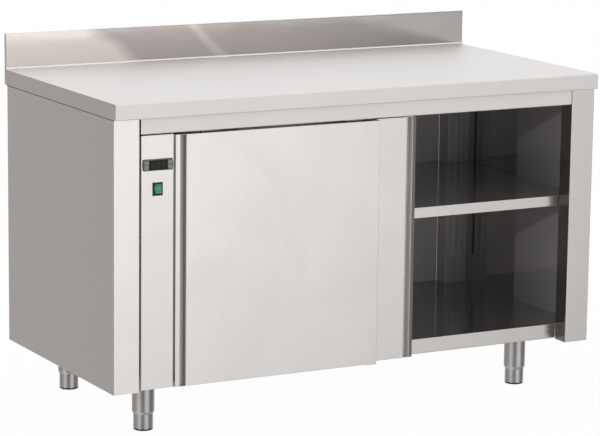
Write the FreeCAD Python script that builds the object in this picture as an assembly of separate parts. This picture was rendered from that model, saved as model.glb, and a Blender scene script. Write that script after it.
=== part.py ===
import FreeCAD, Part
import math
import os

from FreeCAD import Vector

# Plate warmer cabinet: a heated steel base cabinet with two sliding doors under a worktop.
# Millimetres. X runs to the right, Y to the back, Z up.
# The origin lies on the floor, below the middle of the worktop.

# Overall sizes
worktop_width = 1400.0
worktop_depth = 700.0
worktop_height = 850.0
ground_clearance = 125.0

# Sheet metal
sheet = 1.2
bend = 1.0
cut_over = 1.0
fit_gap = 0.2

# Worktop
apron_height = 40.0
apron_seat = 4.0
side_seat = 17.0
upstand_height = 95.0
upstand_thickness = 12.0
cove_radius = 6.0
front_overhang = 14.0
back_overhang = 14.0
side_overhang = 1.0
stiffener_width = 60.0
stiffener_gap = 10.8
stiffener_spread = 300.0
stiffener_end_gap = 10.0

# Corner posts
stile_width = 70.0
door_back_gap = 2.0

# Control column and partition
panel_gap = 3.0
panel_door_gap = 5.5
panel_width = 89.5
panel_bottom_rise = 5.0
panel_return = 15.0
door_end_gap = 1.0
partition_flange = 12.0

# Fascia and door track
fascia_height = 40.0
fascia_return = 8.0
fascia_end_gap = 2.0
track_sheet = 1.5
wheel_top_gap = 3.7
ledge_margin = 1.3
plate_gap = 1.0

# Floor and base
rail_height = 40.0
rail_rise = 2.0
rail_hem = 20.0
base_rail_width = 60.0

# Doors
door_thickness = 22.0
door_sheet = 1.0
door_setback = 1.0
door_spacing = 3.0
door_bottom_rise = 3.0
door_top_gap = 6.0
door_edge_radius = 0.8
front_door_trim = 3.0
rear_door_lap = 24.0
rear_door_rest_share = 96 / 555
core_gap = 0.5

# Grip channel on the closing edge of each door
flange_width = 13.0
flange_slant = 3.0
groove_width = 15.5
groove_back_gap = 4.0

# Hangers and wheels
hanger_inset = 70.0
hanger_width = 50.0
hanger_plate = 2.0
hanger_foot = 9.5
wheel_radius = 10.0
wheel_width = 5.5
wheel_rim = 1.0
wheel_recess = 1.2
wheel_hub_wall = 2.0
wheel_gap = 0.3
axle_radius = 2.5
axle_clearance = 0.05
axle_shoulder = 1.5
axle_head = 1.0
axle_head_gap = 0.4
wheel_side_gap = 0.3
stop_thickness = 12.0
stop_height = 16.0
stop_clearance = 0.5
stop_edge_radius = 0.4

# Bottom guide
guide_end_gap = 0.5
guide_width = 30.0
guide_plate = 2.0
guide_lip = 2.5
fin_length = 15.0
fin_thickness = 5.0
fin_height = 11.0
fin_end_gap = 2.0
fin_side_gap = 1.0
fin_top_gap = 4.0

# Shelf, racks and clips
shelf_rise = 351.0
shelf_height = 28.0
shelf_hem = 12.0
shelf_front_gap = 1.0
shelf_side_gap = 2.0
shelf_rack_gap = 3.0
shelf_back_gap = 3.0
shelf_edge_radius = 1.0
rack_width = 30.0
rack_depth = 8.0
rack_bottom_rise = 79.0
rack_top_drop = 28.0
rack_slot_width = 8.0
rack_slot_height = 5.0
rack_pitch = 12.5
rack_end_margin = 10.0
rack_inset = 31.5
left_rack_spread = 500.0
clip_length = 20.0
clip_width = 20.0
clip_thickness = 4.0
hook_gap = 0.5
hook_back_gap = 2.5

# Control panel pieces
controller_bow = 1.6
controller_drop = 76.0
bezel_depth = 5.0
bezel_radius = 0.8
bezel_side_lip = 6.0
bezel_lip = 1.5
bezel_margin = 2.5
bezel_rim = 3.5
controller_body_depth = 60.0
display_width = 50.0
display_rim = 2.0
display_depth = 1.0
display_proud = 0.2
button_width = 11.0
button_height = 9.4
button_depth = 4.0
button_proud = 0.5
button_gap = 0.2
button_side_gap = 1.5
button_middle_gap = 2.2
button_travel = 1.2
button_floor_gap = 0.1
button_radius = 0.6

# Rocker switch
switch_drop = 60.5
switch_frame_depth = 2.0
switch_frame_radius = 0.8
switch_side_wall = 1.9
switch_end_wall = 1.5
switch_side_lip = 1.3
switch_end_lip = 2.0
switch_back_wall = 10.0
rocker_side_gap = 0.3
rocker_sweep_gap = 0.4
rocker_radius = 12.6
rocker_width = 20.0
rocker_pivot_depth = 2.0
rocker_tip_reach = 5.6
rocker_waist_reach = 3.4
rocker_back_reach = 3.0
rocker_pin_radius = 1.5
rocker_pin_length = 1.4
rocker_pin_clearance = 0.05
rocker_tilt = 7.0
tab_width = 6.0
tab_height = 0.8
tab_depth = 8.0
tab_pitch = 8.0

# Fan, heater and terminal block
fan_rim = 3.0
fan_front_gap = 5.0
fan_bore_radius = 57.0
fan_rise = 123.0
fan_corner_radius = 6.0
motor_radius = 22.0
motor_depth = 14.0
strut_width = 8.0
strut_depth = 4.0
shaft_radius = 3.0
shaft_clearance = 0.05
rotor_tip_gap = 4.0
rotor_hub_radius = 20.0
rotor_depth = 18.0
rotor_gap = 1.0
rotor_blades = 7
blade_thickness = 2.0
blade_pitch = 35.0
grille_width = 200.0
grille_height = 170.0
grille_depth = 4.0
grille_slot_height = 6.0
grille_slot_pitch = 13.0
grille_margin = 16.0
grille_radius = 1.5
outlet_drop = 163.8
outlet_side_margin = 15.0
outlet_end_margin = 20.0
heater_tube_radius = 4.0
heater_bend_radius = 14.0
heater_run = 130.0
heater_runs = 4
heater_standoff = 26.0
heater_bracket = 2.0
heater_bracket_width = 12.0
terminal_length = 62.0
terminal_width = 24.0
terminal_height = 26.0
terminal_poles = 6
terminal_slot = 6.0
terminal_slot_depth = 8.0
terminal_side_gap = 9.0
terminal_back_gap = 20.0

# Service cover and cable gland
cover_overlap = 9.0
cover_margin_bottom = 6.0
cover_margin_top = 6.0
cover_edge_radius = 0.5
louvre_width = 70.0
louvre_height = 5.0
louvre_pitch = 14.0
louvre_count = 9
louvre_rise = 99.0
louvre_drop = 204.0
gland_rise = 55.0
gland_hex_radius = 13.0
gland_hex_depth = 5.0
gland_dome_radius = 10.0
gland_dome_depth = 7.0
gland_dome_fillet = 2.0
gland_stem_radius = 8.0
gland_hole_gap = 0.05
gland_stem_depth = 9.0
gland_nut_depth = 4.0
gland_bore_radius = 4.5

# Legs and feet
leg_inset_left = 130.0
leg_inset_right = 160.0
leg_inset_front = 107.0
leg_inset_back = 99.0
sleeve_length = 79.0
sleeve_wall = 3.2
sleeve_mouth_wall = 0.9
sleeve_taper = 6.0
sleeve_gap = 0.3
socket_plate = 3.0
socket_margin = 16.5
socket_screw_inset = 12.0
socket_rail_inset = 10.0
foot_radius = 25.0
foot_head_room = 22.0
foot_wall = 1.5
foot_cap = 3.0
pad_height = 5.0
pad_inset = 0.3
pad_edge = 2.5
pad_plug_gap = 0.05
pad_plug_height = 10.0

# Screws
screw_shank_radius = 2.5
screw_clearance = 0.05
screw_rim = 2.0
screw_head_height = 2.5
screw_length = 6.0

# Places worked out from the sizes
body_half = worktop_width / 2 - side_overhang
body_front = -worktop_depth / 2 + front_overhang
body_back = worktop_depth / 2 - back_overhang
body_bottom = ground_clearance
body_top = worktop_height - apron_height
side_inner = body_half - sheet
post_inner = body_half - stile_width
post_depth = door_setback + 2 * door_thickness + door_spacing + door_back_gap
posts_front = body_front + post_depth
posts_back = body_back - post_depth
back_inner = body_back - sheet
panel_left = -post_inner + panel_gap
panel_right = panel_left + panel_width
panel_middle = (panel_left + panel_right) / 2
opening_left = panel_right + panel_door_gap
opening_right = post_inner - door_end_gap
partition_face = opening_left - door_end_gap
fascia_bottom = body_top - fascia_height
ceiling_bottom = body_top - sheet
rail_bottom = body_bottom + rail_rise
floor_top = rail_bottom + rail_height
floor_bottom = floor_top - sheet
door_bottom = body_bottom + door_bottom_rise
door_top = fascia_bottom - door_top_gap
front_door_face = body_front + door_setback
rear_door_face = front_door_face + door_thickness + door_spacing
half_opening = (post_inner - opening_left) / 2
front_door_width = half_opening - front_door_trim
rear_door_width = half_opening + rear_door_lap
front_door_left = opening_left
front_door_right = front_door_left + front_door_width
rear_door_slack = opening_right - opening_left - rear_door_width
rear_door_left = opening_left + rear_door_rest_share * rear_door_slack
rear_door_right = rear_door_left + rear_door_width
grip_width = flange_width + groove_width + door_sheet
groove_depth = door_thickness - door_sheet - groove_back_gap
door_pitch = door_thickness + door_spacing
track_front = body_front + sheet
track_top = ceiling_bottom
ledge_top = track_top - track_sheet - wheel_top_gap - 2 * wheel_radius - wheel_gap
ledge_width = axle_head_gap + axle_head + wheel_side_gap + wheel_width + ledge_margin
wheel_level = ledge_top + wheel_gap + wheel_radius
wheel_front = track_front + track_sheet + axle_head_gap + axle_head + wheel_side_gap
wheel_back = wheel_front + wheel_width
plate_front = track_front + track_sheet + ledge_width + plate_gap
axle_head_radius = axle_radius + axle_shoulder
shelf_level = floor_top + shelf_rise
shelf_bottom = shelf_level - shelf_height
controller_level = fascia_bottom - controller_drop
switch_level = controller_level - switch_drop
fan_level = floor_top + fan_rise
outlet_level = ceiling_bottom - outlet_drop
gland_level = body_bottom + gland_rise
leg_front = body_front + leg_inset_front
leg_back = body_back - leg_inset_back
leg_left = -body_half + leg_inset_left
leg_right = body_half - leg_inset_right
leg_places = {
    "front_left": (leg_left, leg_front),
    "front_right": (leg_right, leg_front),
    "rear_left": (leg_left, leg_back),
    "rear_right": (leg_right, leg_back),
}
cover_left = -post_inner - cover_overlap
cover_right = partition_face
back_panel_left = partition_face - partition_flange
slot_end = min(front_door_right, opening_left + rear_door_width - grip_width) - door_sheet
guide_middle = slot_end - guide_end_gap - fin_length / 2
guide_reach = guide_middle - fin_length / 2 - fin_end_gap
front_door_travel = guide_reach - front_door_left - grip_width - door_sheet
rear_door_travel_left = rear_door_left - opening_left
rear_door_travel_right = min(opening_right - rear_door_right, guide_reach - rear_door_left - door_sheet)
slot_width = fin_thickness + 2 * fin_side_gap
slot_height = rail_bottom + fin_height - door_bottom + fin_top_gap
hook_width = rack_slot_width - 2 * hook_gap
hook_height = rack_slot_height - 2 * hook_gap
hook_depth = rack_depth - hook_back_gap
button_spread_x = display_width + 2 * button_side_gap + button_width
button_spread_z = button_height + button_middle_gap
button_pocket = button_depth - button_proud + button_travel + button_floor_gap
controller_width = display_width + 2 * (button_side_gap + button_width + bezel_margin)
controller_height = button_spread_z + button_height + 2 * bezel_rim
controller_body_width = controller_width - 2 * bezel_side_lip
controller_body_height = controller_height - 2 * bezel_lip
display_height = controller_height - 2 * display_rim
rocker_sweep_radius = rocker_radius + rocker_sweep_gap
switch_window_width = rocker_width + 2 * rocker_side_gap
switch_body_width = switch_window_width + 2 * switch_side_wall
switch_body_height = 2 * (rocker_sweep_radius + switch_end_wall)
switch_body_depth = rocker_pivot_depth + rocker_sweep_radius + switch_back_wall
switch_frame_width = switch_body_width + 2 * switch_side_lip
switch_frame_height = switch_body_height + 2 * switch_end_lip
fan_size = 2 * (fan_bore_radius + fan_rim)
fan_depth = motor_depth + rotor_gap + rotor_depth + fan_front_gap
rotor_radius = fan_bore_radius - rotor_tip_gap
outlet_width = grille_width - 2 * outlet_side_margin
outlet_height = grille_height - 2 * outlet_end_margin
sleeve_top = body_bottom - socket_plate
sleeve_bottom = sleeve_top - sleeve_length
foot_top = sleeve_top - foot_head_room
sleeve_bore_radius = foot_radius + sleeve_gap
sleeve_radius = sleeve_bore_radius + sleeve_wall
sleeve_mouth_radius = sleeve_bore_radius + sleeve_mouth_wall
socket_size = 2 * (sleeve_radius + socket_margin)
screw_hole_radius = screw_shank_radius + screw_clearance
screw_head_radius = screw_shank_radius + screw_rim


UP = Vector(0, 0, 1)
TO_BACK = Vector(0, 1, 0)
TO_FRONT = Vector(0, -1, 0)
TO_RIGHT = Vector(1, 0, 0)


# Helpers

def box(x0, x1, y0, y1, z0, z1):
    return Part.makeBox(x1 - x0, y1 - y0, z1 - z0, Vector(x0, y0, z0))


def box_about(x, y, z, width, depth, height):
    return box(x - width / 2, x + width / 2, y - depth / 2, y + depth / 2, z - height / 2, z + height / 2)


def cylinder(radius, height, base, axis):
    return Part.makeCylinder(radius, height, base, axis)


def in_plane(plane, at):
    """Gives a function that takes a flat point (u, v) into space, on the plane at the given place."""
    places = {
        "plan": lambda u, v: Vector(u, v, at),
        "side": lambda u, v: Vector(at, u, v),
        "front": lambda u, v: Vector(u, at, v),
    }
    return places[plane]


def along(plane, length):
    """The vector that is square to a plane."""
    return {"plan": Vector(0, 0, length), "side": Vector(length, 0, 0), "front": Vector(0, length, 0)}[plane]


def prism(plane, points, start, end):
    """A straight block with the outline of the points."""
    to_space = in_plane(plane, start)
    corners = [to_space(u, v) for u, v in points]
    face = Part.Face(Part.makePolygon(corners + corners[:1]))
    return face.extrude(along(plane, end - start))


def unit(a, b):
    length = math.hypot(b[0] - a[0], b[1] - a[1])
    return ((b[0] - a[0]) / length, (b[1] - a[1]) / length)


def offset_path(points, distance):
    """The path moved sideways, to its left when the distance is positive."""
    moved = []
    for i, point in enumerate(points):
        before = unit(points[i - 1], point) if i > 0 else None
        after = unit(point, points[i + 1]) if i < len(points) - 1 else None
        first = before or after
        second = after or before
        normal_sum = (-first[1] - second[1], first[0] + second[0])
        scale = distance / (1 + first[0] * second[0] + first[1] * second[1])
        moved.append((point[0] + normal_sum[0] * scale, point[1] + normal_sum[1] * scale))
    return moved


def rounded_edges(points, radii, to_space):
    """Straight edges along the points, with an arc of the given radius at each inner point."""
    edges = []
    start = points[0]
    for i in range(1, len(points) - 1):
        before = unit(points[i - 1], points[i])
        after = unit(points[i], points[i + 1])
        turn = math.acos(max(-1, min(1, before[0] * after[0] + before[1] * after[1])))
        reach = radii[i] * math.tan(turn / 2)
        a = (points[i][0] - before[0] * reach, points[i][1] - before[1] * reach)
        b = (points[i][0] + after[0] * reach, points[i][1] + after[1] * reach)
        inward = unit(points[i], ((a[0] + b[0]) / 2, (a[1] + b[1]) / 2))
        rise = radii[i] / math.cos(turn / 2) - radii[i]
        middle = (points[i][0] + inward[0] * rise, points[i][1] + inward[1] * rise)
        edges.append(Part.LineSegment(to_space(*start), to_space(*a)).toShape())
        edges.append(Part.Arc(to_space(*a), to_space(*middle), to_space(*b)).toShape())
        start = b
    edges.append(Part.LineSegment(to_space(*start), to_space(*points[-1])).toShape())
    return edges


def bend_radii(points, side, thickness, inner, special):
    """Radius at each point of a folded sheet's drawn side, and at each point of its other side."""
    drawn, other = [], []
    for i in range(len(points)):
        own = special.get(i, inner)
        if 0 < i < len(points) - 1:
            before = unit(points[i - 1], points[i])
            after = unit(points[i], points[i + 1])
            turns_left = before[0] * after[1] - before[1] * after[0] > 0
        else:
            turns_left = True
        inside_is_other = turns_left == (side > 0)
        drawn.append(own + thickness if inside_is_other else own)
        other.append(own if inside_is_other else own + thickness)
    return drawn, other


def folded(plane, points, side, start, end, thickness, inner=bend, special=None):
    """A folded sheet: the points are its drawn side, and the sheet lies to their left (1) or right (-1)."""
    special = special or {}
    to_space = in_plane(plane, start)
    drawn, other = bend_radii(points, side, thickness, inner, special)
    second = offset_path(points, side * thickness)
    edges = rounded_edges(points, drawn, to_space)
    back = rounded_edges(second, other, to_space)
    edges.append(Part.LineSegment(to_space(*points[-1]), to_space(*second[-1])).toShape())
    edges += back
    edges.append(Part.LineSegment(to_space(*second[0]), to_space(*points[0])).toShape())
    wire = Part.Wire(Part.__sortEdges__(edges))
    return Part.Face(wire).extrude(along(plane, end - start))


def fillet_where(shape, radius, test):
    """Rounds the edges whose middle point passes the test."""
    edges = [edge for edge in shape.Edges if test(edge.BoundBox)]
    return shape.makeFillet(radius, edges)


def near(a, b):
    return abs(a - b) < cut_over / 100


def upright(bounds):
    return near(bounds.XLength, 0) and near(bounds.YLength, 0)


def fuse(shapes):
    return shapes[0].fuse(shapes[1:]).removeSplitter()


def without_corners(shape, z0, z1, corners, gap=0):
    """Cuts the corner posts' places out of a plate. A corner is a pair of signs."""
    for sign_x, sign_y in corners:
        inner = post_inner - gap
        edge_y = posts_back - gap
        x0, x1 = sorted((sign_x * inner, sign_x * (body_half + cut_over)))
        y0, y1 = sorted((sign_y * edge_y, sign_y * (body_back + cut_over)))
        shape = shape.cut(box(x0, x1, y0, y1, z0 - cut_over, z1 + cut_over))
    return shape


def screw(place, direction, grip):
    """A pan head screw: the head stands on the place, the shank runs along the direction."""
    head = cylinder(screw_head_radius, screw_head_height, place - direction * screw_head_height, direction)
    shank = cylinder(screw_shank_radius, grip, place, direction)
    return fuse([head, shank])


def screw_hole(place, direction, depth):
    start = place - direction * cut_over
    return cylinder(screw_hole_radius, depth + 2 * cut_over, start, direction)


# Places of the screws, which the drilled pieces share

def leg_screw_places():
    reach_x = socket_size / 2 - socket_screw_inset
    reach_y = base_rail_width / 2 - socket_rail_inset
    return [
        Vector(x + sx * reach_x, y + sy * reach_y, sleeve_top)
        for x, y in leg_places.values() for sx in (-1, 1) for sy in (-1, 1)
    ]


track_screw_shares = (0.04, 0.27, 0.5, 0.73, 0.96)
cover_screw_shares = (0.03, 0.5, 0.97)


def track_screw_places():
    y = (plate_front + hanger_plate + track_front + door_pitch) / 2
    length = post_inner - partition_face
    z = track_top - track_sheet
    return [Vector(partition_face + share * length, y, z) for share in track_screw_shares]


def cover_screw_places():
    z0, z1 = cover_span()
    columns = (cover_left + cover_overlap / 2, partition_face - partition_flange / 2)
    y = body_back + sheet
    return [Vector(x, y, z0 + share * (z1 - z0)) for x in columns for share in cover_screw_shares]


def guide_screw_places():
    y = posts_front + rail_hem / 2
    return [Vector(guide_middle + s * guide_width / 4, y, rail_bottom - guide_plate) for s in (-1, 1)]


# Worktop

def worktop():
    front = -worktop_depth / 2
    back = worktop_depth / 2
    upstand_front = back - upstand_thickness
    upstand_top = worktop_height + upstand_height
    path = [
        (front + front_overhang + apron_seat, body_top), (front, body_top), (front, worktop_height),
        (upstand_front, worktop_height), (upstand_front, upstand_top), (back, upstand_top),
        (back, body_top), (back - back_overhang - apron_seat, body_top),
    ]
    half = worktop_width / 2
    skin = folded("side", path, -1, -half, half, sheet, special={3: cove_radius})
    drawn, other = bend_radii(path, -1, sheet, bend, {3: cove_radius})
    ends = []
    for start in (-half, half - sheet):
        to_space = in_plane("side", start)
        edges = rounded_edges(path, drawn, to_space)
        edges.append(Part.LineSegment(to_space(*path[-1]), to_space(*path[0])).toShape())
        face = Part.Face(Part.Wire(Part.__sortEdges__(edges)))
        ends.append(face.extrude(along("side", sheet)))
    side_return = side_overhang + side_seat
    returns = [
        box(x0, x1, front + sheet, back - sheet, body_top, body_top + sheet)
        for x0, x1 in ((-half, -half + side_return), (half - side_return, half))
    ]
    return fuse([skin] + ends + returns)


def worktop_stiffeners():
    top = worktop_height - sheet
    half = worktop_width / 2 - stiffener_end_gap
    rails = []
    for sign in (-1, 1):
        y = sign * stiffener_spread / 2
        path = [
            (y - stiffener_width / 2, top), (y - stiffener_width / 2, body_top + stiffener_gap),
            (y + stiffener_width / 2, body_top + stiffener_gap), (y + stiffener_width / 2, top),
        ]
        rails.append(folded("side", path, 1, -half, half, sheet))
    return rails


# Casing

def side_panel(sign):
    x0, x1 = sorted((sign * side_inner, sign * body_half))
    panel = box(x0, x1, body_front, body_back, body_bottom, body_top)
    outer = sign * body_half
    return fillet_where(panel, bend, lambda b: upright(b) and near(b.XMin, outer))


def post(sign_x, sign_y):
    edge = sign_x * side_inner
    inner = sign_x * post_inner
    outer_y = sign_y * body_back
    lip_y = sign_y * posts_back
    path = [(edge, lip_y), (inner, lip_y), (inner, outer_y), (edge, outer_y)]
    side = 1 if sign_x * sign_y < 0 else -1
    shape = folded("plan", path, side, body_bottom, body_top, sheet)
    if sign_x < 0 < sign_y:
        places = [place for place in cover_screw_places() if place.x < -post_inner]
        shape = shape.cut([screw_hole(place, TO_FRONT, screw_length) for place in places])
    return shape


def back_panel():
    panel = box(back_panel_left, post_inner, back_inner, body_back, body_bottom, body_top)
    places = [place for place in cover_screw_places() if place.x > back_panel_left]
    return panel.cut([screw_hole(place, TO_FRONT, screw_length) for place in places])


def cover_span():
    return body_bottom + cover_margin_bottom, body_top - cover_margin_top


def service_cover():
    z0, z1 = cover_span()
    y0, y1 = body_back, body_back + sheet
    cover = box(cover_left, cover_right, y0, y1, z0, z1)
    cover = fillet_where(cover, cover_edge_radius, lambda b: near(b.YMin, y1) and near(b.YMax, y1))
    middle = (cover_left + cover_right) / 2
    through = sheet + 2 * cut_over
    cuts = []
    for level in (z0 + louvre_rise, z1 - louvre_drop):
        for i in range(louvre_count):
            z = level + i * louvre_pitch
            cuts.append(box_about(middle, (y0 + y1) / 2, z, louvre_width, through, louvre_height))
    gland_start = Vector(panel_middle, y0 - cut_over, gland_level)
    cuts.append(cylinder(gland_stem_radius + gland_hole_gap, through, gland_start, TO_BACK))
    cuts += [screw_hole(place, TO_FRONT, screw_length) for place in cover_screw_places()]
    return cover.cut(cuts)


def partition_panel():
    front = body_front + panel_return
    edge = partition_face - partition_flange
    path = [(edge, front), (partition_face, front), (partition_face, back_inner), (edge, back_inner)]
    shape = folded("plan", path, 1, floor_top, ceiling_bottom, sheet)
    start = partition_face - sheet - cut_over
    through = sheet + 2 * cut_over
    fan_hole = cylinder(fan_bore_radius, through, Vector(start, 0, fan_level), TO_RIGHT)
    outlet = box_about(partition_face - sheet / 2, 0, outlet_level, through, outlet_width, outlet_height)
    holes = [screw_hole(p, TO_FRONT, screw_length) for p in cover_screw_places() if p.x > back_panel_left]
    return shape.cut([fan_hole, outlet] + holes)


def top_fascia():
    path = [
        (posts_front, body_top), (body_front, body_top),
        (body_front, fascia_bottom), (body_front + fascia_return, fascia_bottom),
    ]
    shape = folded("side", path, 1, panel_left, post_inner - fascia_end_gap, sheet)
    return shape.cut([screw_hole(place, UP, screw_length) for place in track_screw_places()])


def ceiling_panel():
    plate = box(-side_inner, side_inner, posts_front, back_inner, ceiling_bottom, body_top)
    return without_corners(plate, ceiling_bottom, body_top, ((-1, 1), (1, 1)))


def floor_panel():
    path = [
        (posts_front + rail_hem, rail_bottom), (posts_front, rail_bottom),
        (posts_front, floor_top), (back_inner, floor_top),
    ]
    main = folded("side", path, -1, -post_inner, post_inner, sheet)
    strips = [
        box(x0, x1, posts_front, posts_back, floor_bottom, floor_top)
        for x0, x1 in ((-side_inner, -post_inner), (post_inner, side_inner))
    ]
    shape = fuse([main] + strips)
    return shape.cut([screw_hole(place, UP, screw_length) for place in guide_screw_places()])


def base_rails():
    rails = []
    for y in (leg_front, leg_back):
        half = base_rail_width / 2
        y0, y1 = y - half, y + half
        path = [(y0, floor_bottom), (y0, body_bottom), (y1, body_bottom), (y1, floor_bottom)]
        rail = folded("side", path, 1, -side_inner, side_inner, sheet)
        holes = [screw_hole(p, UP, screw_length) for p in leg_screw_places() if abs(p.y - y) < half]
        rails.append(rail.cut(holes))
    return rails


def control_panel():
    z0 = body_bottom + panel_bottom_rise
    z1 = fascia_bottom - panel_gap
    path = [
        (panel_left, body_front + panel_return), (panel_left, body_front),
        (panel_right, body_front), (panel_right, body_front + panel_return),
    ]
    shape = folded("plan", path, 1, z0, z1, sheet)
    y = body_front + sheet / 2
    deep = sheet + 2 * cut_over
    controller_hole = box_about(
        panel_middle, y, controller_level, controller_body_width + 2 * fit_gap, deep,
        controller_body_height + 2 * fit_gap)
    switch_hole = box_about(
        panel_middle, y, switch_level, switch_body_width + 2 * fit_gap, deep,
        switch_body_height + 2 * fit_gap)
    return shape.cut([controller_hole, switch_hole])


# Door track, its stops and the bottom guide

def door_track():
    y = track_front
    low = ledge_top - track_sheet
    points = [
        (y, track_top), (y, low), (y + track_sheet + ledge_width, low),
        (y + track_sheet + ledge_width, ledge_top), (y + track_sheet, ledge_top),
        (y + track_sheet, track_top - track_sheet),
        (y + door_pitch, track_top - track_sheet), (y + door_pitch, low),
        (y + door_pitch + track_sheet + ledge_width, low),
        (y + door_pitch + track_sheet + ledge_width, ledge_top),
        (y + door_pitch + track_sheet, ledge_top),
        (y + door_pitch + track_sheet, track_top - track_sheet),
        (posts_front, track_top - track_sheet), (posts_front, track_top),
    ]
    shape = prism("side", points, partition_face, post_inner)
    shape = fillet_where(
        shape, bend + fit_gap, lambda b: near(b.YMin, y) and near(b.YMax, y) and near(b.ZMin, track_top))
    return shape.cut([screw_hole(place, UP, screw_length) for place in track_screw_places()])


def hanger_places(left, right, grip_on_left):
    """The middles of a door's two hangers along X."""
    first = left + hanger_inset + (grip_width if grip_on_left else 0)
    last = right - hanger_inset - (0 if grip_on_left else grip_width)
    return first, last


front_hangers = hanger_places(front_door_left, front_door_right, True)
rear_hangers = hanger_places(rear_door_left, rear_door_right, False)


def track_stops():
    reach = hanger_width / 2 + stop_clearance
    starts = [
        (front_hangers[0] - reach - stop_thickness, 0),
        (front_hangers[1] + reach + front_door_travel, 0),
        (rear_hangers[0] - reach - rear_door_travel_left - stop_thickness, door_pitch),
        (rear_hangers[1] + reach + rear_door_travel_right, door_pitch),
    ]
    blocks = []
    for x0, step in starts:
        x1 = x0 + stop_thickness
        y0 = track_front + track_sheet + step
        y1 = plate_front + hanger_plate + step
        block = box(x0, x1, y0, y1, ledge_top, ledge_top + stop_height)
        blocks.append(fillet_where(block, stop_edge_radius, upright))
    return blocks


def bottom_guide():
    x0, x1 = guide_middle - guide_width / 2, guide_middle + guide_width / 2
    y0 = front_door_face + door_thickness / 2 - fin_thickness / 2 - guide_lip
    plate = box(x0, x1, y0, posts_front + rail_hem, rail_bottom - guide_plate, rail_bottom)
    fins = []
    for face in (front_door_face, rear_door_face):
        y = face + door_thickness / 2
        z = rail_bottom + fin_height / 2
        fin = box_about(guide_middle, y, z, fin_length, fin_thickness, fin_height)
        fins.append(fillet_where(fin, bend, upright))
    shape = fuse([plate] + fins)
    return shape.cut([screw_hole(place, UP, screw_length) for place in guide_screw_places()])


# Doors

def grip_outline(left, right, grip_on_left, face):
    """Turns a place in the grip (from the closing edge inwards, from the face backwards) into plan."""
    if grip_on_left:
        return lambda u, v: (left + u, face + v)
    return lambda u, v: (right - u, face + v)


def door_grip(left, right, grip_on_left, face):
    place = grip_outline(left, right, grip_on_left, face)
    inner = flange_width + groove_width
    path = [
        place(0, door_thickness), place(0, flange_slant), place(flange_width, 0),
        place(flange_width, groove_depth), place(inner, groove_depth), place(inner, 0),
    ]
    side = -1 if grip_on_left else 1
    channel = folded("plan", path, -side, door_bottom, door_top, door_sheet, inner=door_sheet / 2)
    outline = [
        place(0, door_thickness), place(0, flange_slant), place(flange_width, 0),
        place(inner, door_sheet), place(grip_width, door_sheet), place(grip_width, door_thickness),
    ]
    caps = [prism("plan", outline, z, z + door_sheet) for z in (door_bottom, door_top - door_sheet)]
    return fuse([channel] + caps)


def skin_span(left, right, grip_on_left):
    return (left + grip_width, right) if grip_on_left else (left, right - grip_width)


def door_skin(left, right, grip_on_left, face):
    x0, x1 = skin_span(left, right, grip_on_left)
    back = face + door_thickness - door_sheet
    outer = box(x0, x1, face, back, door_bottom, door_top)
    outer = fillet_where(outer, door_edge_radius, lambda b: near(b.YMin, face) and near(b.YMax, face))
    t = door_sheet
    hollow = box(x0 + t, x1 - t, face + t, back + cut_over, door_bottom + t, door_top - t)
    middle = face + door_thickness / 2
    low, high = door_bottom - cut_over, door_bottom + 2 * t
    slot = box(x0 + t, x1 - t, middle - slot_width / 2, middle + slot_width / 2, low, high)
    return outer.cut([hollow, slot])


def door_liner(left, right, grip_on_left, face):
    x0, x1 = skin_span(left, right, grip_on_left)
    y1 = face + door_thickness
    y0 = y1 - door_sheet
    liner = box(x0, x1, y0, y1, door_bottom, door_top)
    return fillet_where(liner, door_sheet / 2, lambda b: near(b.YMin, y1) and near(b.YMax, y1))


def door_core(left, right, grip_on_left, face):
    x0, x1 = skin_span(left, right, grip_on_left)
    t = door_sheet + core_gap
    y1 = face + door_thickness - t
    return box(x0 + t, x1 - t, face + t, y1, door_bottom + slot_height, door_top - t)


def hanger(x, step):
    """An upright plate with a foot on the door's top and an axle that carries the wheel."""
    y0 = plate_front + step
    y1 = y0 + hanger_plate
    half = hanger_width / 2
    top = wheel_level + wheel_radius - wheel_rim
    path = [(y0, top), (y0, door_top), (y0 + hanger_foot, door_top)]
    plate = folded("side", path, 1, x - half, x + half, hanger_plate)
    head_front = wheel_front + step - wheel_side_gap - axle_head
    axle = cylinder(axle_radius, y1 - head_front, Vector(x, head_front, wheel_level), TO_BACK)
    head = cylinder(axle_head_radius, axle_head, Vector(x, head_front, wheel_level), TO_BACK)
    collar_front = wheel_back + step + wheel_side_gap
    collar = cylinder(axle_head_radius, y0 - collar_front, Vector(x, collar_front, wheel_level), TO_BACK)
    return fuse([plate, axle, head, collar])


def wheel(x, step):
    start = Vector(x, wheel_front + step, wheel_level)
    body = cylinder(wheel_radius, wheel_width, start, TO_BACK)
    body = fillet_where(body, wheel_rim / 2, lambda b: near(b.YLength, 0))
    bore_start = start - TO_BACK * cut_over
    cuts = [cylinder(axle_radius + axle_clearance, wheel_width + 2 * cut_over, bore_start, TO_BACK)]
    for y in (wheel_front + step, wheel_back + step - wheel_recess):
        place = Vector(x, y, wheel_level)
        ring = cylinder(wheel_radius - 2 * wheel_rim, wheel_recess, place, TO_BACK)
        cuts.append(ring.cut(cylinder(axle_radius + wheel_hub_wall, wheel_recess, place, TO_BACK)))
    return body.cut(cuts)


# Shelf, racks and clips

def rack_slots():
    z0 = floor_top + rack_bottom_rise
    z1 = ceiling_bottom - rack_top_drop
    count = int((z1 - z0 - 2 * rack_end_margin) / rack_pitch) + 1
    return z0, z1, [z0 + rack_end_margin + i * rack_pitch for i in range(count)]


def rack_frames():
    """Each rack's middle on its carrier and the direction in which it stands off: (x, y), (dx, dy)."""
    x = post_inner + rack_inset
    half = left_rack_spread / 2
    return [
        ((x, posts_front), (0, 1)), ((x, posts_back), (0, -1)),
        ((partition_face, -half), (1, 0)), ((partition_face, half), (1, 0)),
    ]


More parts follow.
